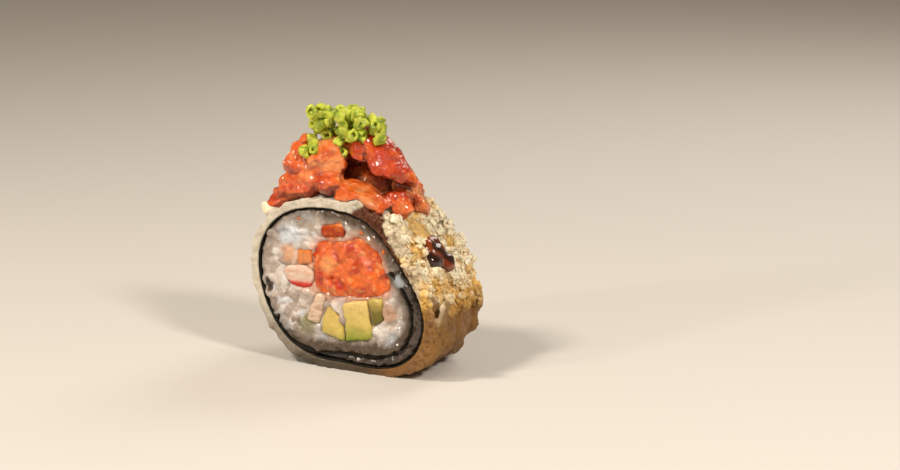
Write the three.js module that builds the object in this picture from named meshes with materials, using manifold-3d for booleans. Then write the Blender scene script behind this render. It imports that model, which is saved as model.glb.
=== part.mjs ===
// One slice of a deep-fried sushi roll, cut square through at both ends. Rice and fillings are
// wound in a sheet of nori, the roll wears a crust of batter and breadcrumb flakes, and a mound
// of chopped raw fish with cut chives sits on top.
// Millimetres, +Z up. The roll lies along Y with its shown cut face looking along -Y. The origin
// is on the flat spot that it rests on, straight below its axis and midway between the cut faces.
// Angles given as dimensions are in degrees, from +X towards +Z.
import * as THREE from "three";
import { mergeVertices } from "three/addons/utils/BufferGeometryUtils.js";
import Module from "manifold-3d";

const wasm = await Module();
wasm.setup();

// The roll. Its section is a mean radius with a few waves round it.
const LENGTH = 23;
const CORE_HEIGHT = 20.6;
const CORE_RADIUS = 21.16;
const CORE_LOBES = [
  { waves: 1, depth: 1.08, turn: 130.6 },
  { waves: 2, depth: 2.84, turn: 24 },
  { waves: 3, depth: 0.83, turn: 30.7 },
  { waves: 4, depth: 0.9, turn: 30.5 },
];

// Clearance between touching pieces
const GAP = 0.3;

// Nori. The inner end is tucked under the outer end, with rice between them. The seam's start,
// overlap and ease are sweeps in degrees, and its taper shapes how the rice there thins out.
const NORI_THICKNESS = 0.6;
const NORI_EDGE = { wave: 0.35, pitch: 9 };
const SEAM = { start: 20, overlap: 132, ease: 26, depth: 3.5, taper: 2.4, slack: 0.1 };

// Cooked rice. Grains are spread over both cut faces, no nearer each other than apart.
const GRAIN = { length: 5.6, width: 2.5, plump: [0.85, 1.15], tilt: [50, 105], sunk: [0.9, 1.5] };
const GRAINS = { front: 47, back: 28, apart: 2.7, x: [-24, 25], z: [1, 42], tries: 6000 };
const RICE_SET_BACK = 0.5;
const THINNEST_RICE = 0.9;
const RICE_HOLLOWS = [
  { at: [-22.6, -LENGTH / 2, 21.4], half: [1.3, 2, 1.6] },
  { at: [-21, -LENGTH / 2, 17.4], half: [1.7, 2.4, 2.3] },
];

// Firm fillings run the length of the roll as strips: the corners of each one's section, X and Z
const STRIP = { proud: 0.25, bevel: 0.3 };
const STRIP_CORNERS = {
  avocado_middle: [[0.9, 16.6], [7.5, 17.9], [9.5, 8.7], [1.7, 7.3]],
  avocado_left: [[-3.3, 15.8], [0.1, 12.6], [1.1, 7.4], [-5.5, 8.7], [-4.6, 12.8]],
  avocado_right: [[8.1, 18.2], [12.1, 18.9], [12.4, 13.6], [9.4, 11.8]],
  salmon_block_top: [[-5.3, 35.1], [1.2, 36.1], [1.3, 33.2], [-5.1, 32.4]],
  salmon_block_left: [[-12.2, 28.3], [-8.3, 28.7], [-8.1, 25.3], [-12, 25.1]],
  crab_shred: [[-6.8, 18.2], [-3.8, 17.8], [-6.3, 10.6], [-9.7, 11.3]],
};
const CRAB_STICK_BENDS = [
  [-15.9, 23.4], [-12, 24.5], [-8.3, 24], [-8.1, 20.4], [-10.6, 19.2], [-14.6, 20.1],
];
const CRAB_STICK_SIDES = 18;

// Seasoned chopped fish at the heart: the bends of its section, and the lumps where it is cut
const FISH_BENDS = [
  [-6.5, 18.9], [-7.6, 25], [-6.2, 31], [1.5, 31.7], [5, 33.2],
  [9.8, 31.2], [12.4, 26.5], [14.2, 22.2], [11.8, 19.8], [4, 18.3],
];
const FISH_SIDES = 36;
const FISH_SET_BACK = 0.4;
const FISH_LUMPS = {
  front: 7,
  back: 4,
  x: [-6.5, 12.5],
  z: [19.5, 31.5],
  sunk: 0.9,
  half: [[2.2, 4], [1.2, 2], [1.8, 2.8]],
};

// Batter crust, thin on the left, thick and craggy on the right. A foot swells it at the lower
// right of the shown face and turns into a hollow towards the back.
const CRUST = { thickness: 1.7, swell: 1.5, swellTowards: 28, sharpness: 4, proud: 0.45 };
const CRUST_FOOT = { swell: 3.2, hollow: 0.35, towards: -28, spread: 13 };
const CRAGS = { least: 0.25, more: 0.95, towards: 25, coarse: 8.5, fine: 4.6, fineShare: 0.8 };
const CRUST_EDGE = { wave: 0.5, pitch: 5 };
const BATTER_LIP = { at: [-20.8, -8.9, 36.9], half: [3.4, 2.4, 1.6], turn: [0, 22, 0], rough: 0.2 };

// Breadcrumb flakes: most on the right flank, a few smaller ones round the rest. Thick, long and
// wide are shares of a flake's size.
const FLAKE_FIELDS = [
  { count: 34, arc: [-30, 64], size: [1.8, 3.5], lift: 0.2 },
  { count: 12, arc: [64, 325], size: [1.2, 2], lift: -0.3 },
];
const FLAKE = { thick: [0.3, 0.5], long: [0.7, 1], wide: [0.5, 0.8], roll: 60, pitch: 25, yaw: 20 };

// The mound of chopped raw fish: a core and the pieces that show
const MOUND_CORE = { at: [-3.5, 0.3, 43], half: [14, 9.2, 9], rough: 0.05 };
const CHOPPED_FISH = [
  { at: [-13.5, -5.8, 50], half: [5.4, 4.2, 4.8], turn: [10, -20, 15] },
  { at: [-5.8, -6.5, 50.2], half: [4.6, 3.8, 4.8], turn: [0, 35, 10] },
  { at: [7.4, -2.3, 51], half: [9.8, 5, 3.8], turn: [0, 44, -6] },
  { at: [-13.6, -7, 44.2], half: [5.6, 3.9, 4.2], turn: [0, -35, 8] },
  { at: [-19.2, -7.2, 39.3], half: [4.6, 3.4, 2.7], turn: [0, -42, 0] },
  { at: [4.6, -7.8, 42.9], half: [8.8, 3.9, 3], turn: [12, 10, 4] },
  { at: [11.2, 2.4, 42.2], half: [3.2, 4.4, 6.2], turn: [0, -28, 0] },
  { at: [-5.2, -7.5, 45], half: [6.4, 3.3, 2.8], turn: [8, 14, -6] },
  { at: [-4.8, -0.4, 52.4], half: [7.2, 5.4, 3.9], turn: [0, 4, 20] },
  { at: [-13, 3.6, 47.5], half: [6.2, 5, 4.6], turn: [0, -28, 30] },
  { at: [1.6, 5.1, 49], half: [6.8, 4.7, 4.2], turn: [-20, 22, -20] },
  { at: [7.6, 6.2, 43], half: [5.2, 4, 4.3], turn: [-20, 30, 0] },
  { at: [-5, 7.6, 44.6], half: [7.2, 3.5, 3.8], turn: [-25, 0, 10] },
  { at: [-16.6, 2.6, 41], half: [4.6, 4.6, 3.4], turn: [0, -45, 0] },
  { at: [12.6, -4, 41.2], half: [3.7, 3.1, 3.5], turn: [0, 40, 20] },
];
const PIECE_ROUGHNESS = 0.2;
const PIECE_SQUARENESS = 3;

// Cut chives: short tubes spread over the crown, and the little heap that lifts most of them
const CHIVE = { outer: 1.5, inner: 0.85, length: 2.8, lift: 0.5, longer: [0.75, 1.2], oval: [0.85, 1.15] };
const CHIVES = { count: 18, x: -4.2, y: -3.1, reachX: 10, reachY: 4.6 };
const CHIVE_HEAP = { at: [-6.2, -3, 56.6], half: [6.4, 3.6, 4], rough: 0.2, seed: 3 };

// Steps round and along, and sizes larger than the whole slice
const OUTLINE_STEP = 6;
const CRUST_SIDES = 66;
const CRUST_RINGS = 7;
const CHIVE_CURVE_STEPS = 3;
const OVERSHOOT = 4;
const BEYOND = 90;
const MERGE_WITHIN = 1e-4;

const radians = THREE.MathUtils.degToRad;
const GOLDEN_ANGLE = Math.PI * (3 - Math.sqrt(5));

// A repeatable random number from 0 to 1, so that each build gives the same food
function dice(seed) {
  let state = seed;
  return () => {
    state = (state + 0x6d2b79f5) | 0;
    let t = Math.imul(state ^ (state >>> 15), 1 | state);
    t = (t + Math.imul(t ^ (t >>> 7), 61 | t)) ^ t;
    return ((t ^ (t >>> 14)) >>> 0) / 4294967296;
  };
}

function within(roll, [low, high]) {
  return low + (high - low) * roll();
}

function eitherWay(roll, most) {
  return within(roll, [-most, most]);
}

// Smooth unevenness, about -1 to 1, whose bumps are as wide as pitch
function unevenness(x, y, z, pitch, phase) {
  const k = (2 * Math.PI) / pitch;
  const along = Math.sin(k * x + 1.7 * Math.sin(0.6 * k * y + phase));
  const across = Math.sin(k * z - 1.3 * Math.sin(0.7 * k * x + 2 * phase));
  const through = Math.sin(k * y + 1.5 * Math.sin(0.5 * k * z + 3 * phase));
  return (along + across + through) / 3;
}

// Solids

function solid(geometry) {
  const bare = geometry.clone();
  bare.deleteAttribute("normal");
  bare.deleteAttribute("uv");
  const merged = mergeVertices(bare, MERGE_WITHIN);
  const mesh = new wasm.Mesh({
    numProp: 3,
    vertProperties: new Float32Array(merged.getAttribute("position").array),
    triVerts: new Uint32Array(merged.getIndex().array),
  });
  return new wasm.Manifold(mesh);
}

// The one largest body of a solid: loose scraps and sealed hollows are dropped
function mainBody(shape) {
  const bodies = shape.decompose();
  bodies.sort((a, b) => b.volume() - a.volume());
  return bodies[0];
}

function geometryOf(shape) {
  const mesh = shape.getMesh();
  const geometry = new THREE.BufferGeometry();
  const positions = new Float32Array(mesh.vertProperties);
  geometry.setAttribute("position", new THREE.BufferAttribute(positions, 3));
  geometry.setIndex(new THREE.BufferAttribute(new Uint32Array(mesh.triVerts), 1));
  geometry.computeVertexNormals();
  return geometry;
}

function union(shapes) {
  return wasm.Manifold.union(shapes);
}

function block(width, depth, height, [x, y, z]) {
  const geometry = new THREE.BoxGeometry(width, depth, height);
  geometry.translate(x, y, z);
  return solid(geometry);
}

// An outline in the XZ plane drawn out along Y, centred on y = 0
function prism(outline, length, bevel = 0) {
  const geometry = new THREE.ExtrudeGeometry(new THREE.Shape(outline), {
    depth: length - 2 * bevel,
    bevelEnabled: bevel > 0,
    bevelThickness: bevel,
    bevelSize: bevel,
    bevelOffset: -bevel,
    bevelSegments: 1,
  });
  geometry.rotateX(Math.PI / 2);
  geometry.translate(0, length / 2 - bevel, 0);
  return solid(geometry);
}

// A prism with room to spare at both ends, for a cut right through the slice
function cutter(outline) {
  return prism(outline, LENGTH + OVERSHOOT);
}

// A lump with half-sizes in mm, roughened, turned and put in place. A squareness of 2 is a ball,
// and more makes it blocky.
function lump({ at, half, turn = [0, 0, 0], detail = 1, rough = 0, seed = 0, squareness = 2 }) {
  const geometry = new THREE.IcosahedronGeometry(1, detail);
  const position = geometry.getAttribute("position");
  const point = new THREE.Vector3();
  const bumpPitch = 1.9;
  for (let i = 0; i < position.count; i++) {
    point.fromBufferAttribute(position, i);
    const bump = unevenness(point.x, point.y, point.z, bumpPitch, seed + 1);
    const sum = point.toArray().reduce((total, part) => total + Math.abs(part) ** squareness, 0);
    point.multiplyScalar((1 + rough * bump) / sum ** (1 / squareness));
    position.setXYZ(i, point.x, point.y, point.z);
  }
  geometry.scale(...half);
  geometry.rotateX(radians(turn[0]));
  geometry.rotateY(radians(turn[1]));
  geometry.rotateZ(radians(turn[2]));
  geometry.translate(...at);
  return solid(geometry);
}

// Outlines in the XZ plane

function coreRadius(angle) {
  let radius = CORE_RADIUS;
  for (const lobe of CORE_LOBES) {
    radius += lobe.depth * Math.cos(lobe.waves * (angle + radians(lobe.turn)));
  }
  return radius;
}

// A point of the roll's section, offset outwards from the nori's outer face
function corePoint(angle, offset) {
  const radius = coreRadius(angle) + offset;
  return new THREE.Vector2(radius * Math.cos(angle), CORE_HEIGHT + radius * Math.sin(angle));
}

function coreOutline(offset) {
  const points = [];
  for (let degrees = 0; degrees < 360; degrees += OUTLINE_STEP) {
    points.push(corePoint(radians(degrees), offset));
  }
  return points;
}

// A soft closed outline through a few points
function softOutline(bends, sides) {
  const curve = new THREE.CatmullRomCurve3(
    bends.map(([x, z]) => new THREE.Vector3(x, z, 0)),
    true,
  );
  return curve.getPoints(sides).slice(0, sides).map((p) => new THREE.Vector2(p.x, p.y));
}

function straightOutline(corners) {
  return corners.map(([x, z]) => new THREE.Vector2(x, z));
}

// The outline moved outwards by a distance, corner by corner
function grow(outline, distance) {
  const turn = THREE.ShapeUtils.area(outline) > 0 ? 1 : -1;
  const sharpest = 0.5;
  const normal = (a, b) => new THREE.Vector2(b.y - a.y, a.x - b.x).normalize();
  return outline.map((point, i) => {
    const before = outline[(i + outline.length - 1) % outline.length];
    const after = outline[(i + 1) % outline.length];
    const n1 = normal(before, point);
    const middle = n1.clone().add(normal(point, after)).normalize();
    const reach = (turn * distance) / Math.max(sharpest, middle.dot(n1));
    return point.clone().addScaledVector(middle, reach);
  });
}

// Whether a point lies inside an outline, by how often a ray from it crosses
function holds(outline, x, z) {
  let inside = false;
  outline.forEach((a, i) => {
    const b = outline[(i + outline.length - 1) % outline.length];
    const spans = a.y > z !== b.y > z;
    if (spans && x < ((b.x - a.x) * (z - a.y)) / (b.y - a.y) + a.x) inside = !inside;
  });
  return inside;
}

const FISH_OUTLINE = softOutline(FISH_BENDS, FISH_SIDES);
const STRIP_OUTLINES = { crab_stick: softOutline(CRAB_STICK_BENDS, CRAB_STICK_SIDES) };
for (const [name, corners] of Object.entries(STRIP_CORNERS)) {
  STRIP_OUTLINES[name] = straightOutline(corners);
}

// Nori: a sheet wound once round and on over its own inner end. A sweep runs clockwise from that
// end, and the inset is how far the sheet lies inside the roll's section there.
function noriInset(sweep) {
  const tucked = NORI_THICKNESS + GAP + SEAM.slack;
  if (sweep < SEAM.overlap) {
    const share = Math.max(0, sweep) / SEAM.overlap;
    return tucked + (SEAM.depth - tucked) * (1 - share ** SEAM.taper);
  }
  if (sweep < SEAM.overlap + SEAM.ease) {
    const share = (sweep - SEAM.overlap) / SEAM.ease;
    return tucked * 0.5 * (1 + Math.cos(Math.PI * share));
  }
  return 0;
}

function noriOutline(outerInset, innerInset, from, to) {
  const outer = [];
  const inner = [];
  const steps = Math.ceil((to - from) / OUTLINE_STEP);
  for (let i = 0; i <= steps; i++) {
    const sweep = Math.min(from + i * OUTLINE_STEP, to);
    const angle = radians(SEAM.start - sweep);
    outer.push(corePoint(angle, -outerInset(sweep)));
    inner.push(corePoint(angle, -innerInset(sweep)));
  }
  return [...outer, ...inner.reverse()];
}

function makeNori() {
  const innerFace = (sweep) => noriInset(sweep) + NORI_THICKNESS;
  const outline = noriOutline(noriInset, innerFace, 0, 360 + SEAM.overlap);
  const settings = { depth: LENGTH, bevelEnabled: false };
  const geometry = new THREE.ExtrudeGeometry(new THREE.Shape(outline), settings);
  geometry.rotateX(Math.PI / 2);
  geometry.translate(0, LENGTH / 2, 0);
  const position = geometry.getAttribute("position");
  for (let i = 0; i < position.count; i++) {
    const y = position.getY(i);
    const wave = NORI_EDGE.wave * unevenness(position.getX(i), 0, position.getZ(i), NORI_EDGE.pitch, 2);
    position.setY(i, y + Math.sign(y) * wave);
  }
  return solid(geometry);
}

// The room that the rice leaves for the nori. The rice in the seam ends where its layer would be
// thinner than a grain, so from there the room reaches out past the rice.
function noriRoom() {
  const pastTheRice = -1;
  const outerInset = (sweep) => {
    const layer = noriInset(sweep) - NORI_THICKNESS - 2 * GAP;
    return layer > THINNEST_RICE ? noriInset(sweep) - GAP : pastTheRice;
  };
  const innerInset = (sweep) => noriInset(sweep) + NORI_THICKNESS + GAP;
  return cutter(noriOutline(outerInset, innerInset, -1, SEAM.overlap + SEAM.ease));
}

function makeStrips() {
  const made = {};
  for (const [name, outline] of Object.entries(STRIP_OUTLINES)) {
    made[name] = prism(outline, LENGTH + 2 * STRIP.proud, STRIP.bevel);
  }
  return made;
}

function stripRooms() {
  return Object.values(STRIP_OUTLINES).map((outline) => cutter(grow(outline, GAP)));
}

function makeFishFilling() {
  const roll = dice(11);
  const lumps = [prism(FISH_OUTLINE, LENGTH - 2 * FISH_SET_BACK)];
  for (const [side, count] of [
    [-1, FISH_LUMPS.front],
    [1, FISH_LUMPS.back],
  ]) {
    for (let i = 0; i < count; i++) {
      const x = within(roll, FISH_LUMPS.x);
      const z = within(roll, FISH_LUMPS.z);
      const half = FISH_LUMPS.half.map((range) => within(roll, range));
      const turn = [0, within(roll, [0, 180]), 0];
      const y = side * (LENGTH / 2 - FISH_LUMPS.sunk);
      lumps.push(lump({ at: [x, y, z], half, turn, rough: 0.2, seed: i }));
    }
  }
  return mainBody(union(lumps).intersect(cutter(FISH_OUTLINE)).subtract(union(stripRooms())));
}

function riceGrain(roll, x, y, z) {
  const geometry = new THREE.SphereGeometry(1, 6, 4);
  const across = (GRAIN.width / 2) * within(roll, GRAIN.plump);
  geometry.scale(across, GRAIN.length / 2, across);
  geometry.rotateX(radians(within(roll, GRAIN.tilt)));
  geometry.rotateY(radians(within(roll, [0, 360])));
  geometry.translate(x, y, z);
  return solid(geometry);
}

// Places for grains on a cut face, clear of the nori and the fillings
function grainPlaces(roll, count) {
  const field = coreOutline(-(NORI_THICKNESS + GAP + THINNEST_RICE));
  const taken = [FISH_OUTLINE, ...Object.values(STRIP_OUTLINES)].map((o) => grow(o, 2 * GAP));
  const places = [];
  for (let tries = 0; tries < GRAINS.tries && places.length < count; tries++) {
    const x = within(roll, GRAINS.x);
    const z = within(roll, GRAINS.z);
    const spaced = places.every((p) => Math.hypot(p[0] - x, p[1] - z) > GRAINS.apart);
    if (spaced && holds(field, x, z) && !taken.some((o) => holds(o, x, z))) places.push([x, z]);
  }
  return places;
}

// Cooked rice: a core with the grains of both cut faces fused on
function makeRice() {
  const roll = dice(7);
  const outline = coreOutline(-(NORI_THICKNESS + GAP));
  const parts = [prism(outline, LENGTH - 2 * RICE_SET_BACK)];
  for (const [side, count] of [
    [-1, GRAINS.front],
    [1, GRAINS.back],
  ]) {
    for (const [x, z] of grainPlaces(roll, count)) {
      parts.push(riceGrain(roll, x, side * (LENGTH / 2 - within(roll, GRAIN.sunk)), z));
    }
  }
  const hollows = RICE_HOLLOWS.map((hollow) => lump({ ...hollow, detail: 0 }));
  const fishRoom = cutter(grow(FISH_OUTLINE, GAP));
  const room = union([fishRoom, ...stripRooms(), noriRoom(), ...hollows]);
  return mainBody(union(parts).intersect(cutter(outline)).subtract(room));
}

function crustThickness(angle, y) {
  const facing = 0.5 + 0.5 * Math.cos(angle - radians(CRUST.swellTowards));
  const swell = CRUST.swell * facing ** CRUST.sharpness;
  const off = (angle - radians(CRUST_FOOT.towards)) / radians(CRUST_FOOT.spread);
  const along = 0.5 - y / LENGTH - CRUST_FOOT.hollow;
  return CRUST.thickness + swell + CRUST_FOOT.swell * along * Math.exp(-off * off);
}

function cragginess(angle) {
  const facing = 0.5 + 0.5 * Math.cos(angle - radians(CRAGS.towards));
  return CRAGS.least + CRAGS.more * facing ** 2;
}

function crustPoint(angle, y, grown) {
  const flat = corePoint(angle, 0);
  const coarse = unevenness(flat.x, y, flat.y, CRAGS.coarse, 3);
  const fine = unevenness(flat.x, y, flat.y, CRAGS.fine, 5);
  const crag = cragginess(angle) * (coarse + CRAGS.fineShare * fine);
  return corePoint(angle, GAP + crustThickness(angle, y) + crag + grown);
}

// The crust's outside, closed at both ends, with an uneven edge round each end
function crustHull(grown) {
  const length = LENGTH + 2 * grown;
  const geometry = new THREE.CylinderGeometry(1, 1, length, CRUST_SIDES, CRUST_RINGS);
  const position = geometry.getAttribute("position");
  for (let i = 0; i < position.count; i++) {
    const x = position.getX(i);
    const y = position.getY(i);
    const z = position.getZ(i);
    const share = Math.hypot(x, z);
    const point = crustPoint(Math.atan2(z, x), y, grown);
    const atEnd = Math.abs(y) > length / 2 - MERGE_WITHIN;
    const wave = CRUST_EDGE.wave * unevenness(point.x, 0, point.y, CRUST_EDGE.pitch, 4);
    const edge = atEnd ? share * Math.sign(y) * wave : 0;
    const height = CORE_HEIGHT + (point.y - CORE_HEIGHT) * share;
    position.setXYZ(i, point.x * share, y + edge, height);
  }
  return solid(geometry);
}

// One flake lies against the crust, its thin way out from the roll's axis
function flake(roll, field, grown) {
  const degrees = within(roll, field.arc);
  const y = eitherWay(roll, LENGTH / 2 - 1);
  const size = within(roll, field.size);
  const point = crustPoint(radians(degrees), y, field.lift);
  return lump({
    at: [point.x, y, point.y],
    half: [FLAKE.thick, FLAKE.long, FLAKE.wide].map((share) => size * within(roll, share) + grown),
    turn: [
      eitherWay(roll, FLAKE.roll),
      eitherWay(roll, FLAKE.pitch) - degrees,
      eitherWay(roll, FLAKE.yaw),
    ],
    detail: 0,
  });
}

function crustBody(grown) {
  const roll = dice(23);
  const shapes = [crustHull(grown)];
  for (const field of FLAKE_FIELDS) {
    for (let i = 0; i < field.count; i++) shapes.push(flake(roll, field, grown));
  }
  shapes.push(lump({ ...BATTER_LIP, half: BATTER_LIP.half.map((size) => size + grown) }));
  return union(shapes);
}

// The crust is cut through at both ends, bored for the roll, and flat where it rests
function makeCrust() {
  const slice = block(BEYOND, LENGTH + 2 * CRUST.proud, BEYOND, [0, 0, CORE_HEIGHT]);
  const belowFloor = block(BEYOND, BEYOND, BEYOND, [0, 0, -BEYOND / 2]);
  const bore = cutter(coreOutline(GAP));
  return mainBody(crustBody(0).intersect(slice).subtract(bore).subtract(belowFloor));
}

function chiveRing(roll, x, y, z) {
  const length = CHIVE.length * within(roll, CHIVE.longer);
  const oval = within(roll, CHIVE.oval);
  const ring = new THREE.Shape();
  ring.absellipse(0, 0, CHIVE.outer * oval, CHIVE.outer / oval, 0, 2 * Math.PI);
  const hole = new THREE.Path();
  hole.absellipse(0, 0, CHIVE.inner * oval, CHIVE.inner / oval, 0, 2 * Math.PI);
  ring.holes.push(hole);
  const settings = { depth: length, bevelEnabled: false, curveSegments: CHIVE_CURVE_STEPS };
  const geometry = new THREE.ExtrudeGeometry(ring, settings);
  geometry.translate(0, 0, -length / 2);
  geometry.rotateX(radians(within(roll, [0, 180])));
  geometry.rotateZ(radians(within(roll, [0, 360])));
  geometry.translate(x, y, z);
  return solid(geometry);
}

// Chives lie where a plumb line first meets the fish or the heap on its crown
function chives(mound) {
  const roll = dice(5);
  const target = new THREE.Mesh(geometryOf(mound));
  const down = new THREE.Vector3(0, 0, -1);
  const plumb = new THREE.Raycaster();
  const made = [];
  for (let i = 0; i < CHIVES.count; i++) {
    const angle = i * GOLDEN_ANGLE;
    const share = Math.sqrt((i + 0.5) / CHIVES.count);
    const x = CHIVES.x + CHIVES.reachX * share * Math.cos(angle);
    const y = CHIVES.y + CHIVES.reachY * share * Math.sin(angle);
    plumb.set(new THREE.Vector3(x, y, BEYOND), down);
    const hit = plumb.intersectObject(target)[0];
    made.push(chiveRing(roll, x, y, hit.point.z + CHIVE.lift));
  }
  return made;
}

function makeTopping() {
  const pieces = CHOPPED_FISH.map((piece, i) =>
    lump({ ...piece, rough: PIECE_ROUGHNESS, seed: i, squareness: PIECE_SQUARENESS }),
  );
  const mound = union([lump(MOUND_CORE), lump(CHIVE_HEAP), ...pieces]);
  const dressed = union([mound, ...chives(mound)]);
  return mainBody(dressed.subtract(crustBody(GAP)));
}

// Finishes, found by a piece's name or by the first word of it
const FINISHES = {
  rice: { color: 0xd9d3cc, roughness: 0.35 },
  nori: { color: 0x1d211b, roughness: 0.45 },
  batter: { color: 0xe6cf97, roughness: 0.85 },
  fish_filling: { color: 0xe2552c, roughness: 0.3 },
  fish_topping: { color: 0xd4512f, roughness: 0.2 },
  salmon: { color: 0xee8246, roughness: 0.35 },
  avocado: { color: 0xcfc964, roughness: 0.4 },
  crab: { color: 0xf0dfd4, roughness: 0.4 },
};

function finishOf(name) {
  const finish = FINISHES[name] ?? FINISHES[name.split("_")[0]];
  return new THREE.MeshStandardMaterial({ ...finish, metalness: 0 });
}

const solids = {
  rice: makeRice(),
  nori: makeNori(),
  batter_crust: makeCrust(),
  fish_filling: makeFishFilling(),
  fish_topping: makeTopping(),
  ...makeStrips(),
};

const slice = new THREE.Group();
for (const [name, shape] of Object.entries(solids)) {
  const mesh = new THREE.Mesh(geometryOf(shape), finishOf(name));
  mesh.name = name;
  slice.add(mesh);
}

export default slice;
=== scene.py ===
"""Dresses one slice of a deep-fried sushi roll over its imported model.

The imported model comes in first, as a fixed frame in metres with +Z up. Every food in it then gets
its real surface: single rice grains, torn nori, craggy breadcrumb, wet chopped fish and cut
chives. Sizes in this file are millimetres and angles degrees, unless a name says otherwise. A
piece is turned to metres once, when it is finished.
"""

import logging
import math
import random
from collections.abc import Callable, Sequence
from dataclasses import dataclass
from enum import Enum

import bmesh
import bpy
from mathutils import Matrix, Vector, noise
from mathutils.bvhtree import BVHTree
from mathutils.kdtree import KDTree


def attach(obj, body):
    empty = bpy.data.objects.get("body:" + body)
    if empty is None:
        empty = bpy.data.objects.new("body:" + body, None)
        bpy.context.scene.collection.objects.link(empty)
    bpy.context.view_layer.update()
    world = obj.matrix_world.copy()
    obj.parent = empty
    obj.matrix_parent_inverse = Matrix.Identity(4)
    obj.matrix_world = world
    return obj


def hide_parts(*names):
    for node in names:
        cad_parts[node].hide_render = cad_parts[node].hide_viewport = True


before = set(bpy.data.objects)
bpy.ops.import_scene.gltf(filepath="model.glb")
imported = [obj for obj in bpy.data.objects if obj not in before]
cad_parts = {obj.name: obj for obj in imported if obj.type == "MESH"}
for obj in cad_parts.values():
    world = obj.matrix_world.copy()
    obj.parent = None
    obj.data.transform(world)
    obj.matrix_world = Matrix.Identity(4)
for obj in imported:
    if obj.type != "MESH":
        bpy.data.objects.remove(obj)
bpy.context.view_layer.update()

log = logging.getLogger("sushi_roll")

MM = 0.001
BODY = "root"
GOLDEN_ANGLE = math.pi * (3 - math.sqrt(5))

Mesh = bmesh.types.BMesh
Outline = list[tuple[float, float]]
Tint = Callable[[Vector, Vector], Vector]


# Colour and nodes


def linear(code: str) -> Vector:
    """Turns an sRGB hex colour into linear light.

    Args:
        code: Six hex digits after a hash.

    Returns:
        Red, green and blue from 0 to 1.
    """
    shares = [int(code[i : i + 2], 16) / 255 for i in (1, 3, 5)]
    return Vector([s / 12.92 if s <= 0.04045 else ((s + 0.055) / 1.055) ** 2.4 for s in shares])


def clamp(value: float) -> float:
    """Holds a value between 0 and 1."""
    return min(1.0, max(0.0, value))


def ramp(value: float, low: float, high: float) -> float:
    """Rises smoothly from 0 at low to 1 at high, and falls if high is the lower one."""
    share = clamp((value - low) / (high - low))
    return share * share * (3 - 2 * share)


def add_node(
    tree: bpy.types.NodeTree,
    kind: str,
    settings: dict[str, object] | None = None,
    links: dict[str | int, bpy.types.NodeSocket] | None = None,
) -> bpy.types.Node:
    """Adds a node to a tree.

    Args:
        tree: The tree that takes the node.
        kind: The node's type name.
        settings: Values by the name of a property or, failing that, of an input.
        links: Sockets to link, by the name or number of the input that each one feeds.

    Returns:
        The new node.
    """
    node = tree.nodes.new(kind)
    for name, value in (settings or {}).items():
        if hasattr(node, name):
            setattr(node, name, value)
        else:
            node.inputs[name].default_value = value
    for name, socket in (links or {}).items():
        tree.links.new(socket, node.inputs[name])
    return node


class Grain(Enum):
    """How a finish's fine pattern runs, as shares of its pitch along X, Y and Z."""

    EVEN = (1.0, 1.0, 1.0)
    ALONG_ROLL = (1.0, 0.15, 1.0)
    UPRIGHT = (1.0, 1.0, 0.3)


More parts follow.
